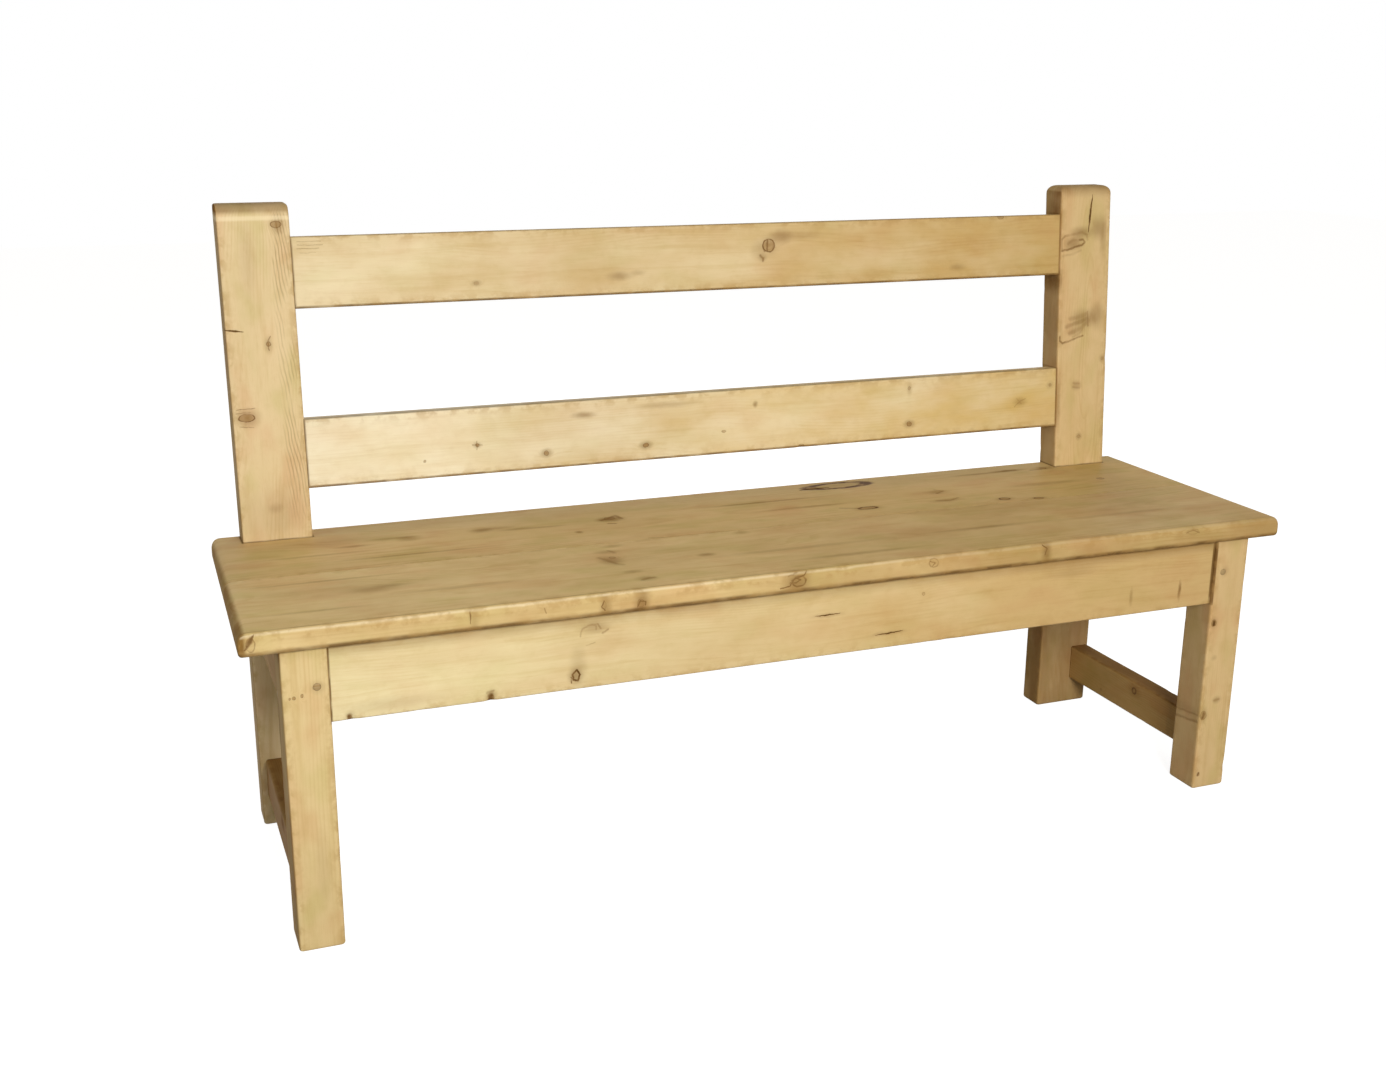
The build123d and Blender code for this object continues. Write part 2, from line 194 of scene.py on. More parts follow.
def side_apron_peg(cutter, side, y):
    """Adds the hole for a peg of a side apron, from the outside of the leg or post."""
    mouth = (side * post_outer, y, side_apron_peg_height)
    drill(cutter, mouth, (-side, 0, 0), peg_hole, side_apron_peg_depth)


def stretcher_peg(cutter, side, y):
    """Adds the hole for a peg of a stretcher, from the outside of the leg or post."""
    mouth = (side * post_outer, y, stretcher_peg_height)
    drill(cutter, mouth, (-side, 0, 0), peg_hole, stretcher_peg_depth)


def cut(piece, cutter):
    """Takes the cutter's holes out of the piece."""
    mesh = bpy.data.meshes.new("cutter")
    cutter.to_mesh(mesh)
    cutter.free()
    tool = bpy.data.objects.new("cutter", mesh)
    scene.collection.objects.link(tool)
    modifier = piece.modifiers.new("cut", "BOOLEAN")
    modifier.object = tool
    modifier.operation = "DIFFERENCE"
    modifier.solver = "EXACT"
    bake_modifiers(piece)
    bpy.data.objects.remove(tool)
    bpy.data.meshes.remove(mesh)


def bake_modifiers(piece):
    """Replaces a piece's mesh by what its modifiers make of it."""
    bpy.context.view_layer.update()
    ready = piece.evaluated_get(bpy.context.evaluated_depsgraph_get())
    mesh = bpy.data.meshes.new_from_object(ready)
    mesh.name = piece.name
    piece.modifiers.clear()
    old = piece.data
    piece.data = mesh
    bpy.data.meshes.remove(old)


def finish_piece(piece, material, *, node, crease=32):
    """Gives a finished piece its material and its place on the bench."""
    mesh = piece.data
    mesh.materials.clear()
    mesh.materials.append(material)
    mesh.polygons.foreach_set("use_smooth", [True] * len(mesh.polygons))
    mesh.set_sharp_from_angle(angle=radians(crease))
    mesh.update()
    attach(piece, "root")
    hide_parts(node)


class Value:
    """What a node gives. A sum with it, of numbers or of vectors, adds the node that works it out."""

    def __init__(self, socket):
        self.socket = socket
        self.is_vector = socket.type == "VECTOR"

    def __add__(self, other):
        return worked_out("ADD", self, other)

    def __radd__(self, other):
        return worked_out("ADD", other, self)

    def __sub__(self, other):
        return worked_out("SUBTRACT", self, other)

    def __rsub__(self, other):
        return worked_out("SUBTRACT", other, self)

    def __mul__(self, other):
        return worked_out("MULTIPLY", self, other)

    def __rmul__(self, other):
        return worked_out("MULTIPLY", other, self)

    def __truediv__(self, other):
        return worked_out("DIVIDE", self, other)

    def __pow__(self, other):
        return worked_out("POWER", self, other)


def give(value, socket):
    """Gives an input of a node its value: by a link, or as a number, or not at all for None."""
    if isinstance(value, Value):
        socket.id_data.links.new(value.socket, socket)
    elif value is not None:
        socket.default_value = value


def add(kind, *values, tree=None, output=None, **settings):
    """Adds a node. Each value goes to its next open input. Gives the named output, or else the first one."""
    tree = tree or next(value.socket.id_data for value in values if isinstance(value, Value))
    made = tree.nodes.new(kind)
    for name, setting in settings.items():
        setattr(made, name, setting)
    for socket, value in zip([socket for socket in made.inputs if socket.enabled], values):
        give(value, socket)
    return Value(made.outputs[output] if output else [socket for socket in made.outputs if socket.enabled][0])


def maths(operation, *values):
    """A sum of numbers."""
    return add("ShaderNodeMath", *values, operation=operation)


def vectors(operation, *values):
    """A sum of vectors. DOT_PRODUCT and LENGTH give a number."""
    return add("ShaderNodeVectorMath", *values, operation=operation)


def worked_out(operation, first, second):
    """A sum of two numbers, of two vectors, or of a vector and how much longer to make it."""
    vectorial = [isinstance(side, tuple) or getattr(side, "is_vector", False) for side in (first, second)]
    if operation == "MULTIPLY" and any(vectorial) and not all(vectorial):
        operation = "SCALE"
    return (vectors if any(vectorial) else maths)(operation, first, second)


def larger(first, second):
    """The larger of two numbers."""
    return maths("MAXIMUM", first, second)


def parts(vector):
    """The three numbers of a vector."""
    return [Value(socket) for socket in add("ShaderNodeSeparateXYZ", vector).socket.node.outputs]


def rise(value, low, high):
    """0 below low, 1 above high, and a smooth step between."""
    return add("ShaderNodeMapRange", value, low, high, 0.0, 1.0, interpolation_type="SMOOTHSTEP")


def blend(share, first, second, way="MIX"):
    """Two colours mixed."""
    return add("ShaderNodeMix", share, first, second, data_type="RGBA", blend_type=way)


def grain_noise(place, scale, detail=2.0, roughness=0.5):
    """Smooth noise about 0.5, with its own scale along, across and through the board."""
    return add("ShaderNodeTexNoise", place * scale, 1.0, detail, roughness)


def group(name, outputs, **inputs):
    """An empty shader node group, with its inputs by name and _ for a space. Gives the group, the values of
    its inputs and the ends for its outputs."""
    tree = bpy.data.node_groups.new(name, "ShaderNodeTree")
    for label, value in inputs.items():
        kind = {3: "Vector", 4: "Color"}[len(value)] if isinstance(value, tuple) else "Float"
        socket = tree.interface.new_socket(
            label.replace("_", " "), in_out="INPUT", socket_type="NodeSocket" + kind)
        socket.default_value = value
    for label in outputs:
        kind = "Color" if label == "Colour" else "Float"
        tree.interface.new_socket(label, in_out="OUTPUT", socket_type="NodeSocket" + kind)
    given = {socket.name: Value(socket) for socket in tree.nodes.new("NodeGroupInput").outputs}
    return tree, given, tree.nodes.new("NodeGroupOutput").inputs


# Growth rings: cylinders of early and late wood about a pith line that wanders beside or inside the board.
growth_rings, given, result = group(
    "growth rings", ("Late wood",), Board=(0, 0, 0), Pith=(0, 0, 60), Lean=0.02, Ring_spacing=4.0,
    Wander=12.0, Lift=0.0, Seed=0.0)
shifted = given["Board"] + (173, 91, 57) * given["Seed"]
slow = grain_noise(shifted, (0.0022, 0.008, 0.008), 1.5)
quick = grain_noise(shifted, (0.012, 0.07, 0.07))
pith = parts(given["Pith"])
board = parts(given["Board"])
wander = (slow - 0.5) * (given["Wander"] * 4.0)
sideways = board[1] - pith[1] + wander
inwards = board[2] - pith[2] + board[0] * given["Lean"] + wander * 0.6
radius = maths("SQRT", sideways ** 2.0 + inwards ** 2.0)
turns = radius / given["Ring spacing"] + given["Lift"] + quick * 0.7
year = maths("FRACT", turns)
late = rise(year, 0.35, 0.88) * (1.0 - rise(year, 0.9, 1.0))
tone = add("ShaderNodeTexWhiteNoise", maths("FLOOR", turns), noise_dimensions="1D")
late *= 0.35 + tone * 0.65
give(late, result["Late wood"])

# A knot: a branch that runs through the board. The growth rings lift round it, its core is dark and cracked
# along its middle, and its rim is the dark line of bark. The values so far run through each knot in turn.
knot_group, given, result = group(
    "knot", ("Core", "Rim", "Lift"), Board=(0, 0, 0), Centre=(0, 0, 0), Half_size=(10, 10, 1000), Dark=1.0,
    Open=0.0, Core_so_far=0.0, Rim_so_far=0.0, Lift_so_far=0.0)
apart = (given["Board"] - given["Centre"]) / given["Half size"]
share = vectors("LENGTH", apart)
halo = vectors("LENGTH", apart * (0.42, 0.67, 1.0))
inside = 1.0 - rise(share, 0.55, 1.1)
sideways = parts(apart)[1]
checks = maths("SINE", sideways * 6.0 + 0.9)
own_lines = checks * 0.16 + (maths("SINE", share * 11.0) * 0.1 + 0.74)
core = inside * own_lines * given["Dark"] * (1.0 - given["Open"])
off_rim = maths("ABSOLUTE", share - 0.92) / (given["Open"] * 0.1 + 0.16)
rim = (1.0 - rise(off_rim, 0.2, 1.0)) * given["Dark"]
rim *= given["Open"] * 0.4 + 0.6
lift = maths("EXPONENT", halo ** 2.0 * -1.0)
give(larger(core, given["Core so far"]), result["Core"])
give(larger(rim, given["Rim so far"]), result["Rim"])
give(lift * 3.0 + given["Lift so far"], result["Lift"])

# A stain: a soft dark patch where the wax went in deep, as round a knot just under the surface.
stain_group, given, result = group(
    "stain_and_shade", ("Stain",), Board=(0, 0, 0), Centre=(0, 0, 0), Half_size=(20, 10, 1000), Dark=0.5, So_far=0.0)
apart = given["Board"] - given["Centre"]
share = vectors("LENGTH", apart / given["Half size"])
patch = (1.0 - rise(share, 0.1, 1.25)) * given["Dark"]
give(patch + given["So far"], result["Stain"])

# A split or a scratch: a dark line of a given width, with pointed ends where Taper is 1. Weights say how fast
# it fades along, across and through the board.
split_group, given, result = group(
    "split", ("Split",), Board=(0, 0, 0), Start=(0, 0, 0), Reach=(40, 0, 0), Width=1.2, Dark=1.0,
    Taper=1.0, Weights=(1, 1, 0), So_far=0.0)
apart = given["Board"] - given["Start"]
squared = vectors("DOT_PRODUCT", given["Reach"], given["Reach"])
along = vectors("DOT_PRODUCT", apart, given["Reach"]) / squared
nearest = given["Reach"] * add("ShaderNodeClamp", along, 0.0, 1.0)
off = (apart - nearest) * given["Weights"]
point = maths("SINE", add("ShaderNodeClamp", along, 0.02, 0.98) * pi)
thin = (1.0 - point) * given["Taper"]
wide = given["Width"] * (thin * -0.8 + 1.0)
line = (1.0 - rise(vectors("LENGTH", off) / wide, 0.15, 1.0)) * given["Dark"]
give(larger(line, given["So far"]), result["Split"])

# Waxed pine: puts the wood's own marks, the wax, worn arrises, painted shade and painted highlights
# together. The tints darken the wood, and the colours after them are laid over it.
waxed_pine, given, result = group(
    "waxed pine", ("Colour", "Roughness", "Height"), Board=(0, 0, 0), Pale=(0.8, 0.62, 0.35, 1),
    Honey=(0.66, 0.44, 0.17, 1), Warmth=0.5, Late_wood=0.0, Grain=0.5, Cloud=1.0, Core=0.0, Rim=0.0,
    Split=0.0, Stain=0.0, Arris=0.0, Grime=0.0, Rubbed=0.0, Seed=0.0)
shifted = given["Board"] + (61, 37, 83) * given["Seed"]
streak = grain_noise(shifted, (0.0045, 0.09, 0.09), 3.0, 0.6)
fibre = grain_noise(shifted, (0.045, 0.8, 0.8))
cloud = grain_noise(shifted, (0.007, 0.016, 0.016), 3.0, 0.55)
bloom = grain_noise(shifted + (500, 300, 700), (0.01, 0.02, 0.02))
rub = grain_noise(shifted, (0.05, 0.06, 0.06), 3.0, 0.6)
patchy = rise(grain_noise(shifted, (0.006, 0.022, 0.022)), 0.42, 0.62)
warmth = given["Warmth"] + (cloud - 0.5) * 1.2
wood = blend(warmth, given["Pale"], given["Honey"])
lines = given["Late wood"] * (patchy * given["Grain"])
uneven = rise(cloud, 0.4, 0.6) * 0.25 + 0.75
for share, tint in (
        (rise(bloom, 0.5, 0.72) * given["Cloud"], (0.9, 0.93, 0.82, 1)),
        (rise(bloom, 0.5, 0.3) * given["Cloud"], (0.96, 0.88, 0.86, 1)),
        (lines, (0.76, 0.64, 0.44, 1)),
        (rise(streak, 0.48, 0.74) * 0.27, (0.78, 0.68, 0.48, 1)),
        (rise(fibre, 0.5, 0.78) * 0.14, (0.74, 0.6, 0.4, 1)),
        (rise(rub, 0.46, 0.72) * 0.14, (0.8, 0.72, 0.55, 1)),
        # The tint for stains lays the real stains and the painted shade passed in with them.
        (given["Stain"] * uneven, (0.26, 0.155, 0.035, 1))):
    wood = blend(share, wood, tint, "MULTIPLY")
broken = rise(rub, 0.36, 0.56) * 0.6 + 0.4
bark = given["Rim"] * broken
worn = given["Arris"] * rise(rub, 0.42, 0.62)
cleft = given["Split"] * (broken * 0.5 + 0.5)
for share, colour in (
        # Laid over the wood in turn: a painted highlight, knots and bark, dark wax together with painted
        # shade, worn arrises and splits.
        (given["Rubbed"], (0.93, 0.77, 0.48, 1)), (given["Core"] * 0.92, (0.31, 0.175, 0.058, 1)),
        (bark * 1.5, (0.2, 0.1, 0.03, 1)), (bark ** 2.0, (0.1, 0.045, 0.011, 1)),
        (given["Grime"] * 0.92, (0.14, 0.068, 0.016, 1)), (worn * 0.4, (0.42, 0.25, 0.08, 1)),
        (cleft * 1.25, (0.24, 0.125, 0.038, 1)), (cleft ** 2.5, (0.075, 0.034, 0.008, 1))):
    wood = blend(share, wood, colour)
rough = streak * 0.14 + 0.43 + (given["Grime"] + given["Split"]) * 0.2 + given["Stain"] * 0.3
height = (lines * 0.3 + streak * 0.4 + fibre * 0.2 + cloud * 1.4 + rise(rub, 0.4, 0.27) * -0.5
          + given["Core"] * 0.35 - given["Rim"] * 0.8 - given["Split"] * 3.0)
give(wood, result["Colour"])
give(maths("MINIMUM", rough, 1.0), result["Roughness"])
give(height, result["Height"])

# How the grain of a piece lies: rows that turn the bench's x, y and z into along, across and through the
# board.
UPRIGHT = ((0, 0, 1), (1, 0, 0), (0, 1, 0))
LENGTHWISE = ((1, 0, 0), (0, 0, 1), (0, -1, 0))
FRONT_TO_BACK = ((0, 1, 0), (0, 0, 1), (1, 0, 0))
FLAT = ((1, 0, 0), (0, 1, 0), (0, 0, 1))


def use(made_from, **values):
    """Places a group, with its inputs by name and _ for a space. Gives its outputs by name."""
    node = values["Board"].socket.id_data.nodes.new("ShaderNodeGroup")
    node.node_tree = made_from
    for label, value in values.items():
        give(value, node.inputs[label.replace("_", " ")])
    return {socket.name: Value(socket) for socket in node.outputs}


def pine(name, lie, seed, pale, honey, pith, spacing, lean, wander, grain, warm, *,
         knots=(), splits=(), strokes=(), stains=(), wax_and_shade=None, cloud=1.0, face=0.0, fade=0.0):
    """A pine material. pale and honey are the colours at the left and right ends of the bench, as far as warm
    says: partly the wood's own tone, and partly painted sheen that pales the left end. face is the depth
    that the strokes are on, and fade how fast they go out through the board.

    knots are (along, across, half length, half width, how dark) and may go on with how open, through and half
    depth. splits are (start, reach, width, how dark), strokes are (points, width, how dark), and both may go
    on with weights of their own. stains are (along, across, half length, half width, how dark). wax_and_shade
    gives a board's masks: dark wax together with painted shade, painted shade laid with the stains, and
    painted highlights.
    """
    material = bpy.data.materials.new(name)
    material.use_nodes = True
    tree = material.node_tree
    shader = tree.nodes["Principled BSDF"].inputs
    shader["Specular IOR Level"].default_value = 0.06
    place = add("ShaderNodeTexCoord", tree=tree, output="Object")
    board = add("ShaderNodeMapping", place, None, Matrix(lie).to_euler(), (1000, 1000, 1000))
    shudder = add("ShaderNodeTexNoise", board * (0.08, 0.08, 0.08), 1.0, 4.0, 0.65, output="Color")
    crooked = board + (shudder - (0.5, 0.5, 0.5)) * 4.5
    core, rim, lift, split = 0.0, 0.0, 0.0, 0.0
    for along, across, half_length, half_width, dark, *rest in knots:
        opened, through, half_depth = rest + [0.0, 0.0, 1000.0][len(rest):]
        knot = use(knot_group, Board=crooked, Centre=(along, across, through), Dark=dark, Open=opened,
                   Half_size=(half_length, half_width, half_depth),
                   Core_so_far=core, Rim_so_far=rim, Lift_so_far=lift)
        core, rim, lift = knot["Core"], knot["Rim"], knot["Lift"]
    lines = [(start, reach, width, dark, 1.0, rest or [(1, 1, 0)])
             for start, reach, width, dark, *rest in splits]
    for points, width, dark, *rest in strokes:
        places = [Vector((*point, face)[:3]) for point in points]
        lines += [(start, end - start, width, dark, 0.0, rest or [(1, 1, fade)])
                  for start, end in zip(places, places[1:])]
    for start, reach, width, dark, taper, weights in lines:
        split = use(split_group, Board=crooked, Start=start, Reach=reach, Width=width, Dark=dark, Taper=taper,
                    Weights=weights[0], So_far=split)["Split"]
    # A board's masks: dark wax together with painted shade, painted shade laid with the stains, and painted
    # highlights.
    grime_and_shade, stain_and_shade, highlight = wax_and_shade(board) if wax_and_shade else (0.0, 0.0, 0.0)
    for along, across, half_length, half_width, dark in stains:
        stain_and_shade = use(stain_group, Board=crooked, Centre=(along, across, 0), Dark=dark,
                    Half_size=(half_length, half_width, 2000), So_far=stain_and_shade)["Stain"]
    late_wood = use(growth_rings, Board=board, Pith=pith, Lean=lean, Ring_spacing=spacing, Wander=wander,
                    Lift=lift, Seed=seed)["Late wood"]
    # From pale at the left to honey at the right: the wood's tone, with painted sheen paling the left end.
    warmth = add("ShaderNodeMapRange", parts(place)[0], -0.75, 0.75, *warm)
    arris = add("ShaderNodeAttribute", tree=tree, attribute_name="arris", output="Fac")
    wood = use(waxed_pine, Board=board, Pale=(*pale, 1), Honey=(*honey, 1), Warmth=warmth, Grain=grain,
               Late_wood=late_wood, Cloud=cloud, Core=core, Rim=rim, Split=split, Stain=stain_and_shade, Arris=arris,
               Grime=grime_and_shade, Rubbed=highlight, Seed=seed)
    give(wood["Colour"], shader["Base Color"])
    give(wood["Roughness"], shader["Roughness"])
    relief = tree.nodes.new("ShaderNodeBump")
    relief.inputs["Strength"].default_value = 0.4
    relief.inputs["Distance"].default_value = 0.0006
    give(wood["Height"], relief.inputs["Height"])
    give(Value(relief.outputs["Normal"]), shader["Normal"])
    return material


def bent(height):
    """How far back the post leans at this height: straight to the seat, a long curve, then straight again."""
    start = seat_top - bend_radius * tan(lean / 2)
    if height <= start:
        return 0.0
    if height < start + bend_radius * sin(lean):
        return bend_radius - sqrt(bend_radius ** 2 - (height - start) ** 2)
    return (height - seat_top) * tan(lean)


def near_band(value, middle, half, soft):
    """1 within half of the middle, falling to 0 over a short way."""
    return 1.0 - rise(maths("ABSOLUTE", value - middle), half, half + soft)


def mottled(board, mask):
    """Breaks a mask up unevenly, as wax lies along a joint; painted shade in the mask is broken up the same
    way.
    """
    uneven = rise(grain_noise(board, (0.03, 0.03, 0.03)), 0.3, 0.6)
    return mask * (uneven * 0.5 + 0.5)


def post_wax_and_shade(side):
    """Dark wax in the corners where the rails and the seat meet a post. Painted shade on its side to the left
    and over its rounded top, and on the right-hand post under the seat. On the left-hand post the rings run
    out at the inner arris, and a painted highlight runs just under the top."""
    def masks(board):
        height, sideways, _ = parts(board)
        close = near_band(sideways, side * post_inner, 0.4 if side < 0 else 1.2, 1.6)
        lower_rail, top_rail = (near_band(height, middle, 51, 1.5) for middle in (571, 831))
        rails = larger(lower_rail, top_rail) * (1.0 if side < 0 else 0.45)
        at_seat = near_band(height, seat_top, 0.4, 1.6) * 0.7
        grime_and_shade = mottled(board, larger(rails * close, at_seat))
        # Painted shade on the face to the left: the outer face of the left-hand post, the inner face of the
        # right one.
        to_the_left = -post_outer if side < 0 else post_inner
        faced = near_band(sideways, to_the_left, 0.5, 1.6)
        if side > 0:
            # Painted shadow below the seat, and painted shade over the rounded top, which faces up.
            below = rise(height, 440, 400) * (faced * -0.2 + 0.6)
            above = rise(height, 903, 927) * 0.55
            return grime_and_shade, faced * 0.4 + below + above, 0.0
        # The left-hand post: painted shade on its outer face.
        painted_shade = faced * 0.55
        run_out = grain_noise(board, (0.02, 0.05, 0.05)) * 8.0 + (height * 0.13 + sideways)
        lines = rise(maths("SINE", run_out * (2 * pi / 4.8)), -0.1, 0.9)
        strip = near_band(sideways, -post_inner - 16, 6, 12.0) * rise(height, 455, 520)
        strip *= rise(grain_noise(board, (0.012, 0.05, 0.05)), 0.4, 0.6)
        # Painted shade over the rounded top, which faces up; the ring lines at the inner arris are grain,
        # laid in with it.
        top_band = rise(height, 912, 919) * 0.58
        painted_shade += larger(top_band, lines * strip * 0.34)
        # A painted highlight just under the rounded top.
        highlight = near_band(height, 908, 1.0, 4.0) * 0.5
        return grime_and_shade, painted_shade, highlight
    return masks


post_pine = {
    "left": pine(
        "post pine left", UPRIGHT, 1.0, (0.77, 0.60, 0.345), (0.68, 0.515, 0.27), (0, -760, 260), 3.6, 0.035,
        10, 0.35, (0.45, 0.45), wax_and_shade=post_wax_and_shade(-1),
        knots=((899, -657, 5, 8, 0.75), (733, -680, 3.5, 3.5, 0.9), (630, -718, 6, 12, 0.95)),
        splits=(((755, -741, 182), (-3, 29, 0), 2.0, 0.95, (1, 1, 0.08)),),
        strokes=((((642, -731), (644, -706)), 0.8, 0.55), (((637, -733), (638, -712)), 0.7, 0.45),
                 (((618, -728), (616, -710)), 0.9, 0.4),
                 (((744, -677), (736, -681), (724, -679)), 1.2, 0.45)),
        stains=((899, -655, 16, 12, 0.55), (630, -716, 16, 20, 0.6), (497, -688, 9, 12, 0.18),
                (732, -680, 14, 7, 0.45), (480, -690, 60, 60, 0.27), (850, -700, 60, 14, 0.15))),
    "right": pine(
        "post pine right", UPRIGHT, 2.0, (0.71, 0.52, 0.267), (0.64, 0.445, 0.203), (0, 700, 196), 4.2, 0.03,
        14, 0.3, (0.5, 0.5), wax_and_shade=post_wax_and_shade(1), cloud=0.9, face=186, fade=0.03,
        knots=((634, 730, 3, 3, 0.5), (500, 686, 3, 3, 0.35)),
        splits=(((912, 700, 192), (-62, -6, 0), 3.2, 0.9, (1, 1, 0.05)),
                ((905, 699, 192), (-48, -5, 0), 1.6, 1.0, (1, 1, 0.05))),
        strokes=((((821, 642), (822, 652), (826, 668), (829, 681), (834, 687), (838, 683), (838, 676)), 3.2,
                  0.55), (((822, 642), (830, 641), (840, 642), (845, 648)), 3.0, 0.35),
                 (((845, 648), (848, 666), (850, 681), (845, 691), (838, 692)), 3.6, 0.28),
                 (((832, 654), (838, 664), (837, 674)), 3.6, 0.25),
                 (((812, 644), (814, 662), (820, 680)), 3.4, 0.18),
                 (((712, 694), (706, 676), (705, 662)), 6.0, 0.22),
                 (((704, 696), (697, 674), (692, 655)), 6.0, 0.3),
                 (((700, 698), (688, 684), (680, 662)), 6.0, 0.24), (((716, 697), (692, 698)), 2.6, 0.35),
                 (((690, 690), (678, 680), (674, 668)), 3.6, 0.2),
                 (((675, 642), (668, 642), (664, 648), (666, 657), (671, 673), (675, 688)), 3.0, 0.5),
                 (((594, 672), (593, 684)), 3.0, 0.2), (((587, 671), (585, 684)), 3.0, 0.22),
                 (((500, 681), (504, 686), (500, 690)), 2.0, 0.2)),
        stains=((832, 664, 14, 22, 0.5), (850, 680, 12, 24, 0.5), (858, 714, 24, 18, 0.5),
                (838, 724, 34, 8, 0.35), (704, 688, 20, 28, 0.55), (708, 716, 26, 18, 0.42),
                (684, 672, 10, 22, 0.35), (690, 641, 40, 6, 0.2), (634, 730, 8, 8, 0.4),
                (590, 678, 10, 12, 0.35), (500, 686, 8, 7, 0.35), (880, 636, 44, 6, 0.5),
                (770, 640, 24, 5, 0.5), (560, 641, 60, 6, 0.4))),
}

for hand, side in (("left", -1), ("right", 1)):
    low, high = sorted((side * post_inner, side * post_outer))
    inner_round, outer_round, front_round = (5, 3, 18) if side < 0 else (14, 10, 14)
    top = (outer_round, inner_round) if side < 0 else (inner_round, outer_round)
    post = timber(
        f"rear_post_{hand}_timber", lambda z, x, y: Vector((x, y + bent(z), z)),
        (low, high, post_front, post_rear), (0, post_height), (3.2, 3.2, 3.0, 3.0), 1 + side, fill=(5, 2),
        low_end=(5,) * 4, high_end=(*top, front_round, 12),
        nicks=((636, 0 if side < 0 else 1, 2.5, 9), (300, 1 if side < 0 else 0, 2.0, 6)))
    mortices = bmesh.new()
    long_apron_mortice(mortices, side, post_inner, rear_apron_middle)
    side_mortices(mortices, side, post_front, 1)
    slope = Matrix.Translation((0, post_front * 0.001, seat_top * 0.001)) @ Matrix.Rotation(-lean, 4, "X")
    for middle in rail_middles:
        block(mortices, (side * (post_inner - 2), rail_mortice[0], middle - half_rail_mortice),
              (side * (post_inner + 46.5), rail_mortice[1], middle + half_rail_mortice), slope)
    cut(post, mortices)
    holes = bmesh.new()
    peg_x = side * (post_inner + peg_inset)
    drill(holes, (peg_x, post_rear, apron_peg_height), (0, -1, 0), peg_hole, apron_peg_depth)
    side_apron_peg(holes, side, post_front + peg_inset)
    stretcher_peg(holes, side, post_front + peg_inset)
    for middle in rail_middles:
        for step in (-rail_peg_step, rail_peg_step):
            mouth = slope @ (Vector((peg_x, -rail_peg_mouth, middle + step)) * 0.001) * 1000
            drill(holes, mouth, slope.to_3x3() @ Vector((0, -1, 0)), peg_hole, rail_peg_depth)
    cut(post, holes)
    finish_piece(post, post_pine[hand], node=f"rear_post_{hand}")

# ---------------------------------------------------------------- front legs
# Two square pine legs under the front of the seat, eased on every arris and rounded at the foot.
# The front apron, side apron and stretcher are morticed into each one and held by a peg.
leg_inner = 678
leg_front, leg_rear = -232.19, -172.19
leg_height = 420
front_apron_middle = -213.19


def leg_wax_and_shade(side):
    """Dark wax where the front apron meets a leg, and painted shade: a line and a fade under the seat, and
    its side to the left.
    """
    def masks(board):
        height, sideways, _ = parts(board)
        half = 0.4 if side < 0 else 1.8
        beside = near_band(sideways, side * leg_inner, half, 1.8) * rise(height, 313, 316)
        # Dark wax beside the apron, and a painted shadow line where the seat overhangs the top.
        grime_and_shade = mottled(board, larger(beside, rise(height, 415, 420) * 0.75))
        # Painted shade on the face to the left, and fading down from under the seat.
        to_the_left = -post_outer if side < 0 else leg_inner
        amount = 0.7 if side < 0 else 0.28
        painted_shade = near_band(sideways, to_the_left, 0.5, 1.8) * amount
        return grime_and_shade, painted_shade + rise(height, 400, 420) * 0.25, 0.0
    return masks


leg_pine = {
    "left": pine(
        "leg pine left", UPRIGHT, 3.0, (0.71, 0.54, 0.27), (0.65, 0.48, 0.225), (0, -790, -120), 3.2, 0.01,
        6, 0.3, (0.35, 0.35), wax_and_shade=leg_wax_and_shade(-1),
        knots=((356, -723, 2.6, 2.2, 1.0), (358, -713, 2.6, 2.2, 1.0), (356, -728, 1.8, 1.6, 1.0)),
        stains=((367, -693, 11, 11, 0.4), (120, -700, 60, 12, 0.15), (60, -708, 90, 50, 0.06))),
    "right": pine(
        "leg pine right", UPRIGHT, 4.0, (0.675, 0.475, 0.232), (0.615, 0.43, 0.195), (0, 640, -260), 3.8,
        0.02, 8, 0.3, (0.5, 0.5), wax_and_shade=leg_wax_and_shade(1),
        knots=((284, 687, 6, 5, 0.6), (128, 685, 8, 6, 0.6), (25, 687, 4, 3.5, 0.6)),
        strokes=((((281, 687), (286, 687)), 4.4, 0.9), (((124, 684), (131, 686)), 4.4, 0.6),
                 (((24, 687), (27, 688)), 2.8, 0.8), (((152, 704), (152, 713)), 3.0, 0.22),
                 (((121, 677, -174), (127, 677, -226)), 3.0, 0.3, (1, 0.1, 1)),
                 (((108, 677, -174), (116, 677, -226)), 4.0, 0.35, (1, 0.1, 1))),
        stains=((369, 697, 11, 9, 0.3), (284, 687, 12, 9, 0.4), (128, 685, 16, 10, 0.4),
                (152, 708, 7, 9, 0.5), (225, 694, 6, 7, 0.3), (60, 703, 60, 10, 0.06),
                (350, 708, 80, 50, 0.07))),
}

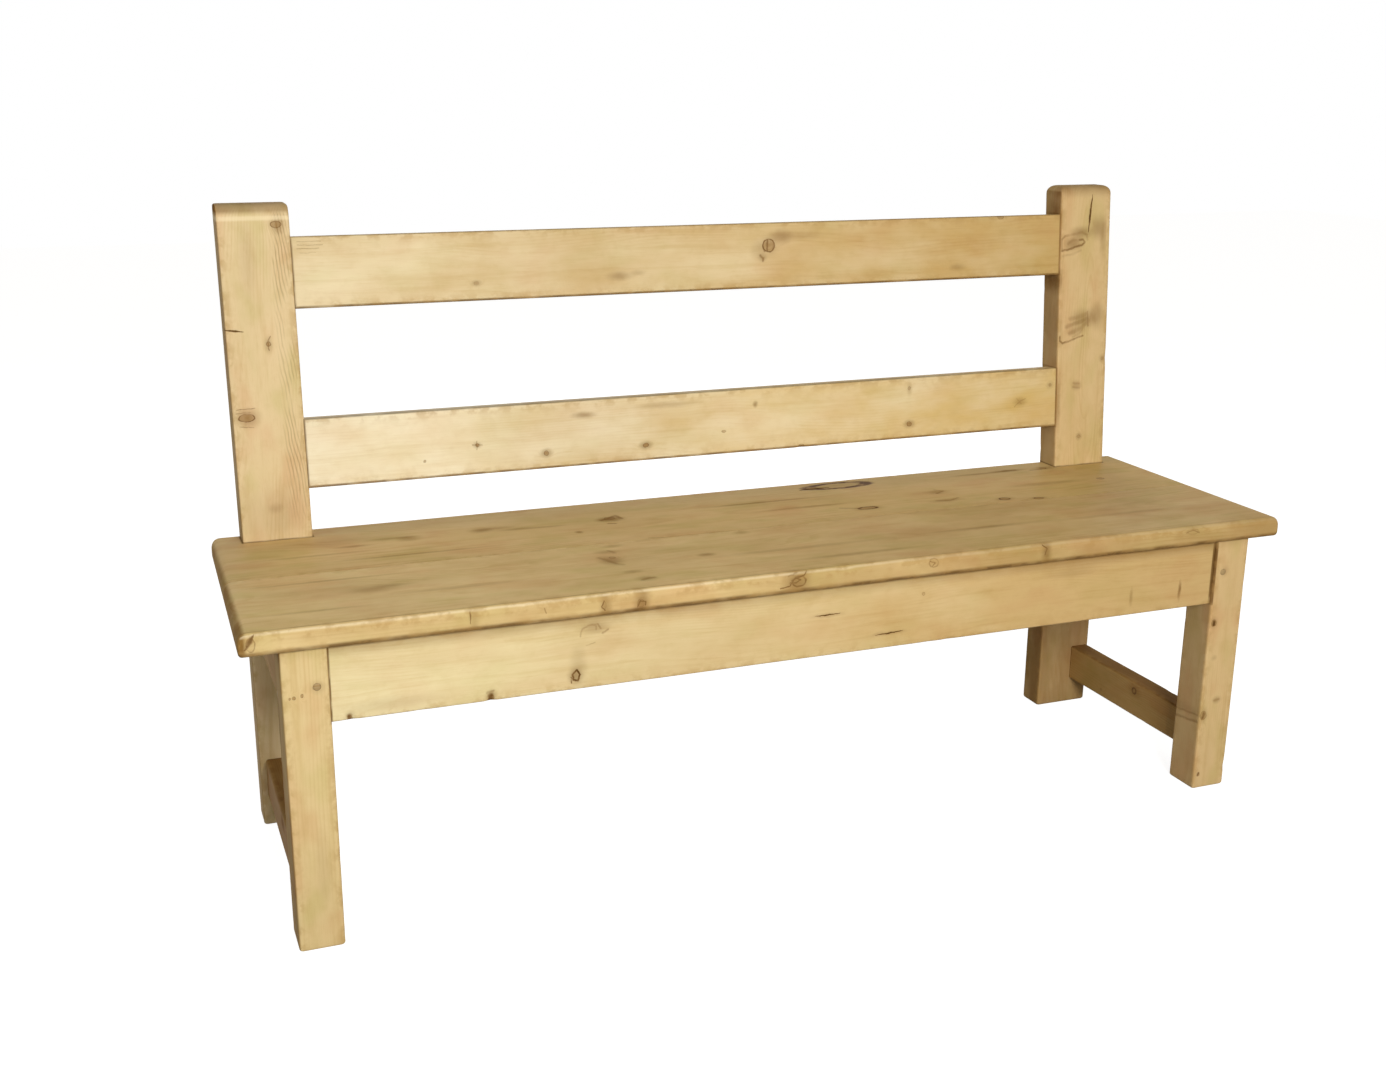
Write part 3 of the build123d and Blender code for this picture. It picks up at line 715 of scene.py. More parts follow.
for hand, side in (("left", -1), ("right", 1)):
    low, high = sorted((side * leg_inner, side * post_outer))
    leg = timber(
        f"front_leg_{hand}_timber", lambda z, x, y: Vector((x, y, z)), (low, high, leg_front, leg_rear),
        (0, leg_height), (3.4, 3.4, 3.0, 3.0), 5 + side, fill=(3, 3), low_end=(5,) * 4, high_end=(0.6,) * 4,
        nicks=((34, 0 if side < 0 else 1, 2.5, 7), (120, 1 if side < 0 else 0, 1.5, 8)))
    mortices = bmesh.new()
    long_apron_mortice(mortices, side, leg_inner, front_apron_middle)
    side_mortices(mortices, side, leg_rear, -1)
    cut(leg, mortices)
    holes = bmesh.new()
    mouth = (side * (leg_inner + peg_inset), leg_front, apron_peg_height)
    drill(holes, mouth, (0, 1, 0), peg_hole, apron_peg_depth)
    side_apron_peg(holes, side, leg_rear - peg_inset)
    stretcher_peg(holes, side, leg_rear - peg_inset)
    cut(leg, holes)
    finish_piece(leg, leg_pine[hand], node=f"front_leg_{hand}")

# ---------------------------------------------------------------- side aprons and stretchers
# Short pine rails that tie each front leg to the post behind it: a deep one under the seat and a low one
# near the floor. Each has a tenon on both ends.
apron_low, half_apron = 315, 14
apron_tenon, half_tenon, tenon_length = (327, 408), 5, 30
stretcher_top = 108
side_pegs = (leg_rear - peg_inset, post_front + peg_inset)


def short_wax_and_shade(top):
    """Dark wax where a short rail meets leg and post, and painted shade along its top and on its left."""
    def masks(board):
        along, height, sideways = parts(board)
        middle, half = (leg_rear + post_front) / 2, (post_front - leg_rear) / 2
        ends = rise(maths("ABSOLUTE", along - middle), half - 2.6, half - 0.8)
        # Painted shade along the top, under the seat, and on the outer face of the left-hand pieces.
        painted_shade = rise(height, top - 3.5, top - 0.5) * 0.55
        painted_shade = larger(painted_shade, rise(sideways, -726.0, -728.0) * 0.5)
        return mottled(board, ends * 0.8), painted_shade, 0.0
    return masks


short_pine = pine(
    "short rail pine", FRONT_TO_BACK, 5.0, (0.62, 0.42, 0.18), (0.52, 0.33, 0.12), (0, 150, 640), 3.4, 0.03,
    8, 0.55, (0.6, 0.7), wax_and_shade=short_wax_and_shade(leg_height))
# Darker colours than the other pieces: painted shade, for the shadow they stand in under the seat.
stretcher_pine = pine(
    "stretcher pine", FRONT_TO_BACK, 6.0, (0.49, 0.31, 0.115), (0.41, 0.25, 0.083), (0, 20, 760), 3.2, 0.03,
    8, 0.45, (0.7, 0.9), wax_and_shade=short_wax_and_shade(stretcher_top),
    knots=((-32, 92, 9, 8, 0.85, 0.4), (60, 60, 4, 3, 0.6)),
    stains=((-32, 92, 22, 14, 0.5),))


def running_back(y, z, x):
    """A piece that runs from front to back."""
    return Vector((x, y, z))


for hand, side in (("left", -1), ("right", 1)):
    middle = side * side_apron_middle
    tenon = ((*apron_tenon, middle - half_tenon, middle + half_tenon), tenon_length)
    side_apron = timber(
        f"side_apron_{hand}_timber", running_back,
        (apron_low, leg_height, middle - half_apron, middle + half_apron), (leg_rear, post_front),
        (2.5, 2.5, 2.5, 2.5), 9 + side, fill=(3, 1), low_tenon=tenon, high_tenon=tenon)
    holes = bmesh.new()
    for y in side_pegs:
        side_apron_peg(holes, side, y)
    cut(side_apron, holes)
    finish_piece(side_apron, short_pine, node=f"side_apron_{hand}")

    # The left one is planed thinner on its outside than the right one.
    low, high = (-729, -702.5) if side < 0 else (702.5, 736.5)
    middle = side * stretcher_middle
    tenon = ((59, 96, middle - half_tenon, middle + half_tenon), tenon_length)
    stretcher = timber(
        f"stretcher_{hand}_timber", running_back, (47, stretcher_top, low, high), (leg_rear, post_front),
        (2.8, 3.6, 3.6, 2.8), 13 + side, fill=(2, 1), low_tenon=tenon, high_tenon=tenon,
        nicks=((40, 1, 2, 8), (-90, 2, 2, 12)))
    holes = bmesh.new()
    for y in side_pegs:
        stretcher_peg(holes, side, y)
    cut(stretcher, holes)
    finish_piece(stretcher, stretcher_pine, node=f"stretcher_{hand}")

# ---------------------------------------------------------------- long aprons
# Two long pine boards on edge under the seat, the front one between the legs and the rear one between the
# posts. Each has a tenon at both ends, and its inside is notched for the two cross bearers.
apron_high = 420
bearer_spots = (-260, 260)
housing_half, housing_depth, housing_low = 30.15, 10.15, 391.85


def apron_wax_and_shade(half):
    """Dark wax at both ends of a long apron, half its length from the middle, a painted shadow under the seat
    along its top, and painted shade along its lower arris."""
    def masks(board):
        along, height, _ = parts(board)
        ends = larger(rise(maths("ABSOLUTE", along), half - 2.6, half - 0.8),
                      rise(along, half - 4.5, half - 2.0))
        # A painted shadow line under the seat along the top, and painted shade along the lower arris.
        top = rise(height, apron_high - 7.0, apron_high - 3.0) * 0.85
        arris = rise(height, apron_low + 2.2, apron_low + 0.6) * 0.5
        grime_and_shade = mottled(board, larger(larger(ends, arris), top))
        # And a painted shadow fading down from under the seat.
        return grime_and_shade, rise(height, apron_high - 24, apron_high - 2) * 0.5, 0.0
    return masks


def running_along(x, y, z):
    """A piece that runs from left to right."""
    return Vector((x, y, z))


apron_pine = pine(
    "front apron pine", LENGTHWISE, 7.0, (0.77, 0.64, 0.36), (0.575, 0.39, 0.166), (0, 300, 150), 4.4, 0.02,
    16, 0.22, (-0.1, 1.5), wax_and_shade=apron_wax_and_shade(leg_inner), cloud=0.5,
    knots=((-654, 317, 3.5, 5, 1.0, 0.0, 227, 12), (-471, 318, 4, 6, 1.0, 0.0, 227, 12),
           (167, 390, 2.5, 2.5, 0.6)),
    splits=(((-5, 376, 0), (40, 1, 0), 1.5, 1.0), ((92, 336, 0), (44, 2, 0), 1.6, 1.0)),
    strokes=((((-655, 312, 227), (-655, 321, 227)), 5.0, 0.85, (1, 1, 0.5)),
             (((-472, 312, 227), (-472, 323, 227)), 6.0, 0.9, (1, 1, 0.6)),
             (((-476, 327), (-468, 329)), 2.6, 0.35),
             (((-354, 343), (-350, 336), (-352, 328), (-358, 329), (-360, 337), (-354, 343)), 2.4, 0.95),
             (((-357, 328), (-362, 333)), 1.4, 0.8), (((-361, 325), (-362, 330)), 1.4, 0.7),
             (((-348, 390), (-346, 399), (-338, 403), (-327, 403), (-326, 397)), 2.0, 0.25),
             (((-324, 404), (-320, 398)), 2.2, 0.35), (((-317, 391), (-310, 395)), 2.2, 0.35),
             (((-340, 376), (-328, 378)), 1.2, 0.25)),
    stains=((-328, 399, 24, 9, 0.35), (-352, 345, 14, 34, 0.3), (-357, 334, 12, 12, 0.4),
            (529, 344, 4, 17, 0.45), (618, 344, 3.5, 18, 0.75), (-471, 322, 9, 10, 0.5),
            (-654, 320, 8, 9, 0.4), (112, 337, 34, 4, 0.3), (14, 376, 30, 4, 0.3), (-600, 330, 70, 12, 0.25),
            (420, 396, 60, 10, 0.2), (-250, 367, 230, 80, 0.07)))
rear_apron_pine = pine(
    "rear apron pine", LENGTHWISE, 8.0, (0.66, 0.47, 0.22), (0.57, 0.38, 0.15), (0, 410, -120), 4.2, 0.02,
    14, 0.4, (0.4, 0.8), wax_and_shade=apron_wax_and_shade(post_inner),
    knots=((-205, 352, 10, 9, 0.8), (388, 380, 8, 7, 0.7)))

for name, half, middle, material, seed in (
        ("front_apron", leg_inner, front_apron_middle, apron_pine, 21),
        ("rear_apron", post_inner, rear_apron_middle, rear_apron_pine, 22)):
    front, rear = middle - half_apron, middle + half_apron
    inside, way = (rear, -1) if name == "front_apron" else (front, 1)
    tenon = ((middle - half_tenon, middle + half_tenon, *apron_tenon), tenon_length)
    apron = timber(
        f"{name}_timber", running_along, (front, rear, apron_low, apron_high), (-half, half),
        (2.8, 2.2, 2.2, 2.2), seed, fill=(1, 3), low_tenon=tenon, high_tenon=tenon,
        nicks=((-654, 0, 3, 5), (-471, 0, 3.5, 5), (212, 0, 1.5, 8)))
    housings = bmesh.new()
    for x in bearer_spots:
        block(housings, (x - housing_half, inside + way * housing_depth, housing_low),
              (x + housing_half, inside - way, apron_high + 1))
    cut(apron, housings)
    holes = bmesh.new()
    outside = leg_front if name == "front_apron" else post_rear
    for x in (-half - peg_inset, half + peg_inset):
        drill(holes, (x, outside, apron_peg_height), (0, -way, 0), peg_hole, apron_peg_depth)
    cut(apron, holes)
    finish_piece(apron, material, node=name)

# ---------------------------------------------------------------- back rails
# Two flat pine rails across the back, set a little behind the face of the posts and leaning with them.
# A long tenon at each end runs into the post, and two pegs from behind hold it.
rail_front, rail_rear = -3, -33


def rail_wax_and_shade(top, bottom):
    """Dark wax at both ends of a back rail, painted shade along its lower arris and a dark line along its top
    one, the arrises being at these heights.
    """
    def masks(board):
        along, height, _ = parts(board)
        ends = rise(along, 2.4 - post_inner, 0.6 - post_inner) * 0.7
        ends += rise(along, post_inner - 2.0, post_inner - 0.4) * 0.3
        # Painted shade along the lower arris, and a dark line along the top one.
        arris = larger(rise(height, bottom + 3.6, bottom + 1.6) * 0.85,
                       rise(height, top - 1.8, top - 0.8) * 0.5)
        return mottled(board, larger(ends, arris)), 0.0, 0.0
    return masks


def on_slope(x, up, forwards):
    """A place on the leaning back: along the bench, up the slope and forwards from the face of the posts."""
    return Vector((x, post_front + up * sin(lean) - forwards * cos(lean),
                   seat_top + up * cos(lean) + forwards * sin(lean)))


def rail_peg(middle, step, side):
    """The mouth of one peg hole of a back rail, in the back of the post, and the way in."""
    mouth = on_slope(side * (post_inner + peg_inset), middle + step * rail_peg_step, rail_peg_mouth)
    return mouth, (0, -cos(lean), sin(lean))


top_rail_pine = pine(
    "top rail pine", LENGTHWISE, 9.0, (0.80, 0.665, 0.415), (0.57, 0.38, 0.147), (0, 760, -260), 4.4, 0.012,
    14, 0.22, (0.1, 1.1), wax_and_shade=rail_wax_and_shade(881, 781), cloud=0.5,
    knots=((99, 846, 11, 11, 0.85), (522, 880, 7, 4, 0.9), (-374, 806, 4, 3, 0.4)),
    strokes=((((-630, 874), (-596, 874)), 0.6, 0.4), (((-630, 869), (-594, 869)), 0.6, 0.45),
             (((-630, 864), (-600, 864)), 0.6, 0.4), (((-626, 858), (-604, 858)), 0.6, 0.25),
             (((97, 855), (96, 838)), 2.4, 0.55), (((92, 854), (89, 846), (92, 837)), 2.2, 0.5),
             (((106, 854), (108, 846), (105, 838)), 1.8, 0.35),
             (((84, 831), (89, 827), (89, 823)), 3.0, 0.45)),
    stains=((99, 846, 20, 18, 0.3), (120, 859, 22, 13, 0.42), (150, 860, 50, 9, 0.2), (88, 828, 9, 8, 0.4),
            (80, 840, 14, 18, 0.25), (-150, 808, 24, 8, 0.4), (-120, 812, 14, 5, 0.3),
            (440, 800, 18, 7, 0.3), (-374, 806, 10, 6, 0.35), (-210, 831, 230, 90, 0.06)))
lower_rail_pine = pine(
    "lower rail pine", LENGTHWISE, 10.0, (0.87, 0.77, 0.545), (0.645, 0.448, 0.163), (0, 470, -250), 4.0,
    0.012, 12, 0.20, (0.0, 1.0), wax_and_shade=rail_wax_and_shade(622, 522), cloud=0.35,
    knots=((-385, 565, 3, 3, 1.0), (-466, 547, 2, 2, 0.9), (-278, 545, 4, 3.5, 0.9),
           (-116, 545, 5, 3.5, 0.95), (17, 557, 4, 2, 0.8), (153, 524, 5, 3, 0.9), (352, 605, 3, 3.5, 0.6),
           (352, 545, 4.5, 4, 0.95), (627, 593, 3, 3, 0.6)),
    strokes=((((-393, 566), (-377, 565)), 0.9, 0.5), (((-386, 558), (-385, 572)), 0.8, 0.5),
             (((556, 560), (566, 568), (578, 574)), 1.4, 0.3), (((560, 574), (570, 564)), 1.4, 0.25)),
    stains=((-385, 565, 8, 6, 0.5), (-278, 545, 12, 8, 0.6), (-116, 545, 13, 8, 0.6), (72, 597, 5, 6, 0.6),
            (352, 545, 12, 8, 0.6), (567, 568, 16, 10, 0.36), (627, 593, 9, 8, 0.36),
            (-216, 599, 22, 6, 0.6), (352, 603, 6, 12, 0.4), (-80, 606, 60, 6, 0.25),
            (-190, 572, 250, 110, 0.13)))

for name, middle, material, seed in (
        ("top_back_rail", rail_middles[0], top_rail_pine, 31),
        ("lower_back_rail", rail_middles[1], lower_rail_pine, 32)):
    tenon = ((middle - 38, middle + 38, -24, -12), 45)
    section = (middle - 51, middle + 50.5, rail_rear, rail_front)
    rail = timber(
        f"{name}_timber", on_slope, section, (-post_inner, post_inner), (2.5, 2.5, 3.2, 3.2), seed,
        fill=(4, 1), low_tenon=tenon, high_tenon=tenon,
        nicks=((526, 2, 3.5, 8), (-240, 3, 1.5, 10)) if name == "top_back_rail" else ((153, 3, 3, 6),))
    holes = bmesh.new()
    for side in (-1, 1):
        for step in (-1, 1):
            drill(holes, *rail_peg(middle, step, side), peg_hole, rail_peg_depth)
    cut(rail, holes)
    finish_piece(rail, material, node=name)

# ---------------------------------------------------------------- bearers and corner blocks
# Two cross bearers let into the long aprons, and a square block in each corner. Nobody sees them from above,
# so they are left as they came off the saw, and the seat is screwed down to them from below.
saw_marks, given, result = group("saw marks", ("Ridge",), Board=(0, 0, 0), Pitch=7.0, Seed=0.0)
shifted = given["Board"] + (31, 59, 17) * given["Seed"]
sway = grain_noise(shifted, (0.01, 0.01, 0.01))
along = parts(shifted)
slant = along[1] * 0.22 + along[0]
turns = sway * 3.0 + slant / given["Pitch"]
ridge = maths("SINE", turns * (2 * pi)) * grain_noise(shifted, (0.05, 0.02, 0.05))
give(ridge, result["Ridge"])


def sawn_pine(name, lie, seed):
    """Pale unwaxed pine, straight from the saw."""
    material = pine(
        name, lie, seed, (0.62, 0.46, 0.26), (0.53, 0.36, 0.18), (0, 300, 300), 4.5, 0.02, 10, 0.6,
        (0.3, 0.6),
        knots=((60, 30, 9, 9, 0.7),))
    tree = material.node_tree
    relief = next(node for node in tree.nodes if node.type == "BUMP")
    board = next(node for node in tree.nodes if node.type == "MAPPING").outputs["Vector"]
    ridges = use(saw_marks, Board=Value(board), Seed=seed)["Ridge"]
    wood = Value(relief.inputs["Height"].links[0].from_socket)
    give(ridges * 1.3 + wood, relief.inputs["Height"])
    tree.nodes["Principled BSDF"].inputs["Specular IOR Level"].default_value = 0.3
    return material


bearer_pine = sawn_pine("sawn pine bearers", FRONT_TO_BACK, 11.0)
block_pine = sawn_pine("sawn pine blocks", LENGTHWISE, 12.0)
for hand in ("left", "right"):
    for name, finish in ((f"cross_bearer_{hand}", bearer_pine), (f"corner_block_front_{hand}", block_pine),
                         (f"corner_block_rear_{hand}", block_pine)):
        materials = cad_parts[name].data.materials
        materials.clear()
        materials.append(finish)

# ---------------------------------------------------------------- seat
# Two wide pine boards glued edge to edge. The front and both ends are rounded over, and the rear board is
# notched round the posts. There is wax in the notches, and a painted highlight runs along the front arris.
seat_low, seat_joint = 420, -21.19
seat_front, seat_rear = -243.19, 201.81
seat_end = 783
notch_room = 0.4
pilot_hole, pilot_depth, screw_steps = 4.16, 18, (-16, 16)
front_screw_y, rear_screw_y = -81.19, 38.81
front_block_screw, rear_block_screw = (664, -158.19), (624, 143.81)


def seat_wax_and_shade(board):
    """Dark wax round the posts and in the joint, a dark line just behind the front arris, painted shade under
    it and a painted highlight along its top, brighter to the left. The front edge is darkened, most to the
    right, and the left-hand end grain is darker, partly as end grain and partly as painted shade."""
    along, across, height = parts(board)
    post_x = maths("ABSOLUTE", maths("ABSOLUTE", along) - 688)
    post_y = maths("ABSOLUTE", across - 182)
    gap_x = larger(post_x - 50.0, 0.0)
    gap_y = larger(post_y - 24.0, 0.0)
    from_post = maths("SQRT", gap_x ** 2.0 + gap_y ** 2.0)
    notch = (1.0 - rise(from_post, 0.5, 3.0)) * 0.8
    joint = near_band(across, seat_joint, 0.3, 1.2) * 0.3
    leftwards = rise(along, 500, -300)
    at_front = rise(across, -236, -241)
    # Painted shade under the front arris.
    under = rise(height, 428.5, 424.0) * at_front * 0.9
    behind = near_band(across, -233.5, 0.6, 1.6) * rise(height, 446, 448.5)
    behind *= leftwards * 0.3 + 0.12
    grime_and_shade = larger(larger(notch, joint), larger(under, behind))
    # The left-hand end grain: darker partly as end grain and partly as painted shade.
    left_end = rise(along, -774, -781) * 0.8
    front_edge = at_front * (leftwards * -0.12 + 0.3)
    # A painted highlight along the top of the front arris, brighter to the left.
    crest = near_band(across, -239.5, 0.6, 2.0) * rise(height, 443, 446)
    crest *= leftwards * 0.45 + 0.1
    return mottled(board, grime_and_shade), left_end + front_edge, crest


def on_edge(*points):
    """Places on the front edge of the seat, from how far along and how high they are."""
    return [(x, edge_y, z) for x, z in points]


edge, edge_y = (1, 0.15, 1), -243
front_board_pine = pine(
    "front seat board pine", FLAT, 13.0, (0.78, 0.59, 0.285), (0.56, 0.37, 0.143), (0, -165, 330), 4.6,
    0.012, 26, 0.38, (0.15, 0.85), wax_and_shade=seat_wax_and_shade, cloud=0.8,
    knots=((-258, -90, 5, 6, 0.5), (-38, -243, 11, 6, 0.6, 0.5, 437, 8),
           (-771, -243, 6, 6, 0.45, 0.5, 436, 9), (-320, -243, 3, 5, 0.4, 0.0, 435, 5),
           (-269, -243, 5, 6, 0.75, 0.0, 432, 6), (172, -243, 8, 6, 0.35, 0.6, 441, 7),
           (620, -243, 11, 6, 0.35, 0.5, 443, 4)),
    splits=(((-766, -243, 449), (-13, 0, -19), 4.6, 0.7, edge),
            ((-498, -243, 450), (-1, 0, -20), 1.5, 0.6, edge)),
    strokes=((on_edge((-273, 427), (-270, 435), (-262, 434), (-263, 429)), 1.5, 0.8, edge),
             (on_edge((-320, 441), (-324, 434), (-319, 428)), 1.4, 0.6, edge),
             (on_edge((-66, 429), (-52, 431), (-45, 441), (-30, 445), (-25, 450)), 1.5, 0.6, edge),
             (on_edge((-51, 436), (-42, 435), (-36, 439), (-42, 442), (-49, 439)), 1.8, 0.55, edge),
             (on_edge((-54, 445), (-40, 449)), 1.6, 0.45, edge),
             (on_edge((166, 444), (174, 441), (170, 436)), 1.4, 0.45, edge),
             (on_edge((354, 448), (361, 442), (357, 434)), 1.6, 0.7, edge),
             (on_edge((608, 442), (620, 445), (632, 441)), 1.4, 0.5, edge),
             (on_edge((-401, 440), (-399, 433)), 1.4, 0.4, edge),
             (((-276, -86), (-268, -103), (-261, -120), (-254, -127)), 6.0, 0.28),
             (((-252, -56), (-248, -70)), 5.0, 0.25),
             (((-252, -202), (-240, -196), (-232, -196)), 5.0, 0.35)),
    stains=((-240, -37, 20, 9, 0.42), (-256, -62, 22, 12, 0.42), (-264, -102, 20, 26, 0.5),
            (-252, -162, 18, 8, 0.35), (-244, -197, 18, 13, 0.5), (-38, -36, 16, 10, 0.4),
            (-598, -116, 46, 18, 0.38), (-570, -108, 30, 8, 0.28), (-490, -147, 90, 8, 0.35),
            (0, -137, 170, 8, 0.25), (330, -134, 110, 8, 0.38), (560, -138, 160, 8, 0.25),
            (-318, -241, 10, 9, 0.4), (-267, -241, 14, 10, 0.5), (-42, -241, 24, 12, 0.45),
            (360, -241, 10, 10, 0.4), (-494, -241, 8, 9, 0.3), (-128, -123, 16, 10, 0.6),
            (-650, -60, 120, 5, 0.35), (-690, -180, 80, 5, 0.35), (80, -190, 110, 8, 0.35),
            (-620, -100, 160, 40, 0.2), (-200, -90, 120, 60, 0.12), (520, -60, 200, 60, 0.12),
            (190, -130, 170, 90, 0.08)))
rear_board_pine = pine(
    "rear seat board pine", FLAT, 14.0, (0.69, 0.50, 0.232), (0.59, 0.405, 0.152), (0, 80, 320), 5.0, 0.012,
    24, 0.4, (0.3, 0.8), wax_and_shade=seat_wax_and_shade, cloud=1.0,
    knots=((221, 168, 67, 20, 1.0, 1.0), (205, 25, 19, 8, 1.0, 0.6), (439, 0, 11, 8, 1.0, 0.3),
           (494, -15, 10, 7, 1.0, 0.3), (-198, 105, 10, 9, 0.6), (665, 61, 8, 7, 0.9),
           (613, 157, 7, 7, 0.9)),
    splits=(((150, 161, 450), (52, 1, 0), 9.0, 1.0),),
    strokes=((((163, 38), (190, 29)), 3.4, 0.4),
             (((-213, 98), (-200, 106), (-184, 118), (-181, 100)), 6.0, 0.45),
             (((-208, 78), (-198, 75)), 5.0, 0.4), (((352, 66), (370, 78), (360, 88)), 4.0, 0.35),
             (((330, 26), (352, 22), (372, 32)), 4.0, 0.3), (((536, 163), (560, 160)), 4.0, 0.4),
             (((585, 152), (605, 150)), 4.0, 0.4), (((-177, -16), (-156, -18)), 3.0, 0.3)),
    stains=((222, 169, 60, 18, 0.35), (205, 24, 30, 12, 0.6), (439, 0, 22, 12, 0.5), (494, -15, 20, 10, 0.5),
            (357, 74, 26, 14, 0.42), (347, 24, 36, 10, 0.42), (-198, 100, 26, 16, 0.75),
            (-400, 107, 20, 16, 0.42), (-376, 110, 34, 11, 0.38), (-345, 96, 44, 8, 0.36),
            (-300, 92, 40, 5, 0.3), (-508, 102, 22, 15, 0.55), (-530, 110, 40, 8, 0.35),
            (617, 157, 26, 12, 0.55), (545, 161, 40, 9, 0.55), (480, 158, 60, 6, 0.4),
            (-590, 88, 30, 7, 0.5), (120, 63, 90, 7, 0.4), (560, 63, 80, 12, 0.4), (-650, 60, 90, 5, 0.35),
            (-264, 48, 8, 8, 0.6), (60, 113, 120, 6, 0.45), (-520, 23, 130, 5, 0.35),
            (-620, 120, 120, 30, 0.25), (100, 100, 200, 50, 0.12), (-230, 90, 200, 90, 0.12)))


def seat_board(name, front, rear, rounds, ends, nicks, seed):
    """One board of the seat. Its left-hand end was sawn a little out of square."""
    board = timber(
        f"{name}_plank", running_along, (front, rear, seat_low, seat_top), (-seat_end, seat_end), rounds,
        seed, fill=(14, 1), low_end=(*ends[:3], ends[3] + 5), high_end=ends, spread=0.22, nicks=nicks)
    for vertex in board.data.vertices:
        share = min(1, max(0, -0.68 - vertex.co.x) / 0.1)
        vertex.co.x += 0.0035 * share * (vertex.co.y * 1000 - seat_joint) / 222
    return board


def screw_holes(board, bearer_screw_y, block_screw):
    """Drills the pilot holes of the seat screws from below, over the bearers and over two corner blocks."""
    holes = bmesh.new()
    places = [(spot + step, bearer_screw_y) for spot in bearer_spots for step in screw_steps]
    places += [(side * block_screw[0], block_screw[1]) for side in (-1, 1)]
    for place in places:
        drill(holes, (*place, seat_low), (0, 0, 1), pilot_hole, pilot_depth)
    cut(board, holes)


front_board = seat_board(
    "seat_board_front", seat_front, seat_joint, (5.5, 0.5, 0.5, 8.5), (3.5, 0.4, 5, 8),
    nicks=((-770, 3, 3, 5), (-486, 3, 2, 9), (34, 3, 1.5, 12)), seed=41)
screw_holes(front_board, front_screw_y, front_block_screw)
finish_piece(front_board, front_board_pine, node="seat_board_front")

rear_board = seat_board(
    "seat_board_rear", seat_joint, seat_rear, (0.5, 3.5, 5.0, 0.5), (0.4, 6, 5, 8),
    nicks=((226, 2, 2, 40),), seed=42)
notches = bmesh.new()
for side in (-1, 1):
    block(notches, (side * (post_inner - notch_room), post_front - notch_room, seat_low - 1),
          (side * (post_outer + notch_room), seat_rear + 5, seat_top + 1))
cut(rear_board, notches)
screw_holes(rear_board, rear_screw_y, rear_block_screw)
finish_piece(rear_board, rear_board_pine, node="seat_board_rear")

# ---------------------------------------------------------------- pegs
# Whittled pine pegs, driven through the legs and posts into every tenon and pared off flush.
# Their end grain drinks the wax, so each one shows as a small dark dot.
peg_diameter = 10


def pick(index, values):
    """A number for each point, by its index."""
    made = index.socket.id_data.nodes.new("GeometryNodeIndexSwitch")
    made.data_type = "FLOAT"
    while len(made.index_switch_items) < len(values):
        made.index_switch_items.new()
    give(index, made.inputs["Index"])
    for step, value in enumerate(values):
        made.inputs[step + 1].default_value = value
    return Value(made.outputs[0])


def driven_in(name, profile, sides, slotted=False):
    """A tree that sets one turned fastener on each point, head first, along the way that the point gives.

    profile rows are (share of the length, share of the diameter), from the head to the tip.
    """
    tree = bpy.data.node_groups.new(name, "GeometryNodeTree")
    for label, kind, value in (
            ("Places", "Geometry", None), ("Diameter", "Float", 0.01), ("Length", "Float", 0.03),
            ("Seed", "Int", 7), ("Finish", "Material", None)):
        socket = tree.interface.new_socket(label, in_out="INPUT", socket_type="NodeSocket" + kind)
        if value is not None:
            socket.default_value = value
    tree.interface.new_socket("Fasteners", in_out="OUTPUT", socket_type="NodeSocketGeometry")
    given = {socket.name: Value(socket) for socket in tree.nodes.new("NodeGroupInput").outputs}
    line = add("GeometryNodeCurvePrimitiveLine", (0, 0, 0), (0, 0, 1), tree=tree)
    line = add("GeometryNodeResampleCurve", line, None, len(profile))
    index = add("GeometryNodeInputIndex", tree=tree)
    reach = pick(index, [row[0] for row in profile]) * given["Length"]
    line = add("GeometryNodeSetPosition", line, None, add("ShaderNodeCombineXYZ", 0.0, 0.0, reach))
    circle = add("GeometryNodeCurvePrimitiveCircle", sides, given["Diameter"] * 0.5)
    fastener = add("GeometryNodeCurveToMesh", line, circle, pick(index, [row[1] for row in profile]), True)
    if slotted:
        bar = add("GeometryNodeMeshCube", (0.012, 0.001, 0.0012), tree=tree)
        bar = add("GeometryNodeTransform", bar, (0, 0, -0.0007))
        fastener = add("GeometryNodeMeshBoolean", fastener, bar, solver="EXACT")
    way = add("GeometryNodeInputNamedAttribute", "way", tree=tree, data_type="FLOAT_VECTOR")
    facing = add("FunctionNodeAlignRotationToVector", None, None, way, axis="Z")
    turn = add("FunctionNodeRandomValue", 0.0, 2 * pi, None, given["Seed"])
    twist = add("FunctionNodeAxisAngleToRotation", (0, 0, 1), turn)
    facing = add("FunctionNodeRotateRotation", facing, twist, rotation_space="LOCAL")
    placed = add("GeometryNodeInstanceOnPoints", given["Places"], None, fastener, None, None, facing)
    placed = add("GeometryNodeRealizeInstances", placed)
    placed = add("GeometryNodeSetMaterial", placed, None, given["Finish"])
    give(placed, tree.nodes.new("NodeGroupOutput").inputs["Fasteners"])
    return tree


def fasteners(name, tree, places, **sizes):
    """Sets fasteners in their places, each a mouth and the way in, and makes a plain mesh of them."""
    mesh = bpy.data.meshes.new(name)
    mesh.from_pydata([Vector(mouth) * 0.001 for mouth, way in places], [], [])
    ways = mesh.attributes.new("way", "FLOAT_VECTOR", "POINT")
    ways.data.foreach_set("vector", [number for mouth, way in places for number in Vector(way).normalized()])
    piece = bpy.data.objects.new(name, mesh)
    scene.collection.objects.link(piece)
    modifier = piece.modifiers.new("driven in", "NODES")
    modifier.node_group = tree
    for socket in tree.interface.items_tree:
        if socket.in_out == "INPUT" and socket.name in sizes:
            modifier[socket.identifier] = sizes[socket.name]
    bake_modifiers(piece)
    return piece


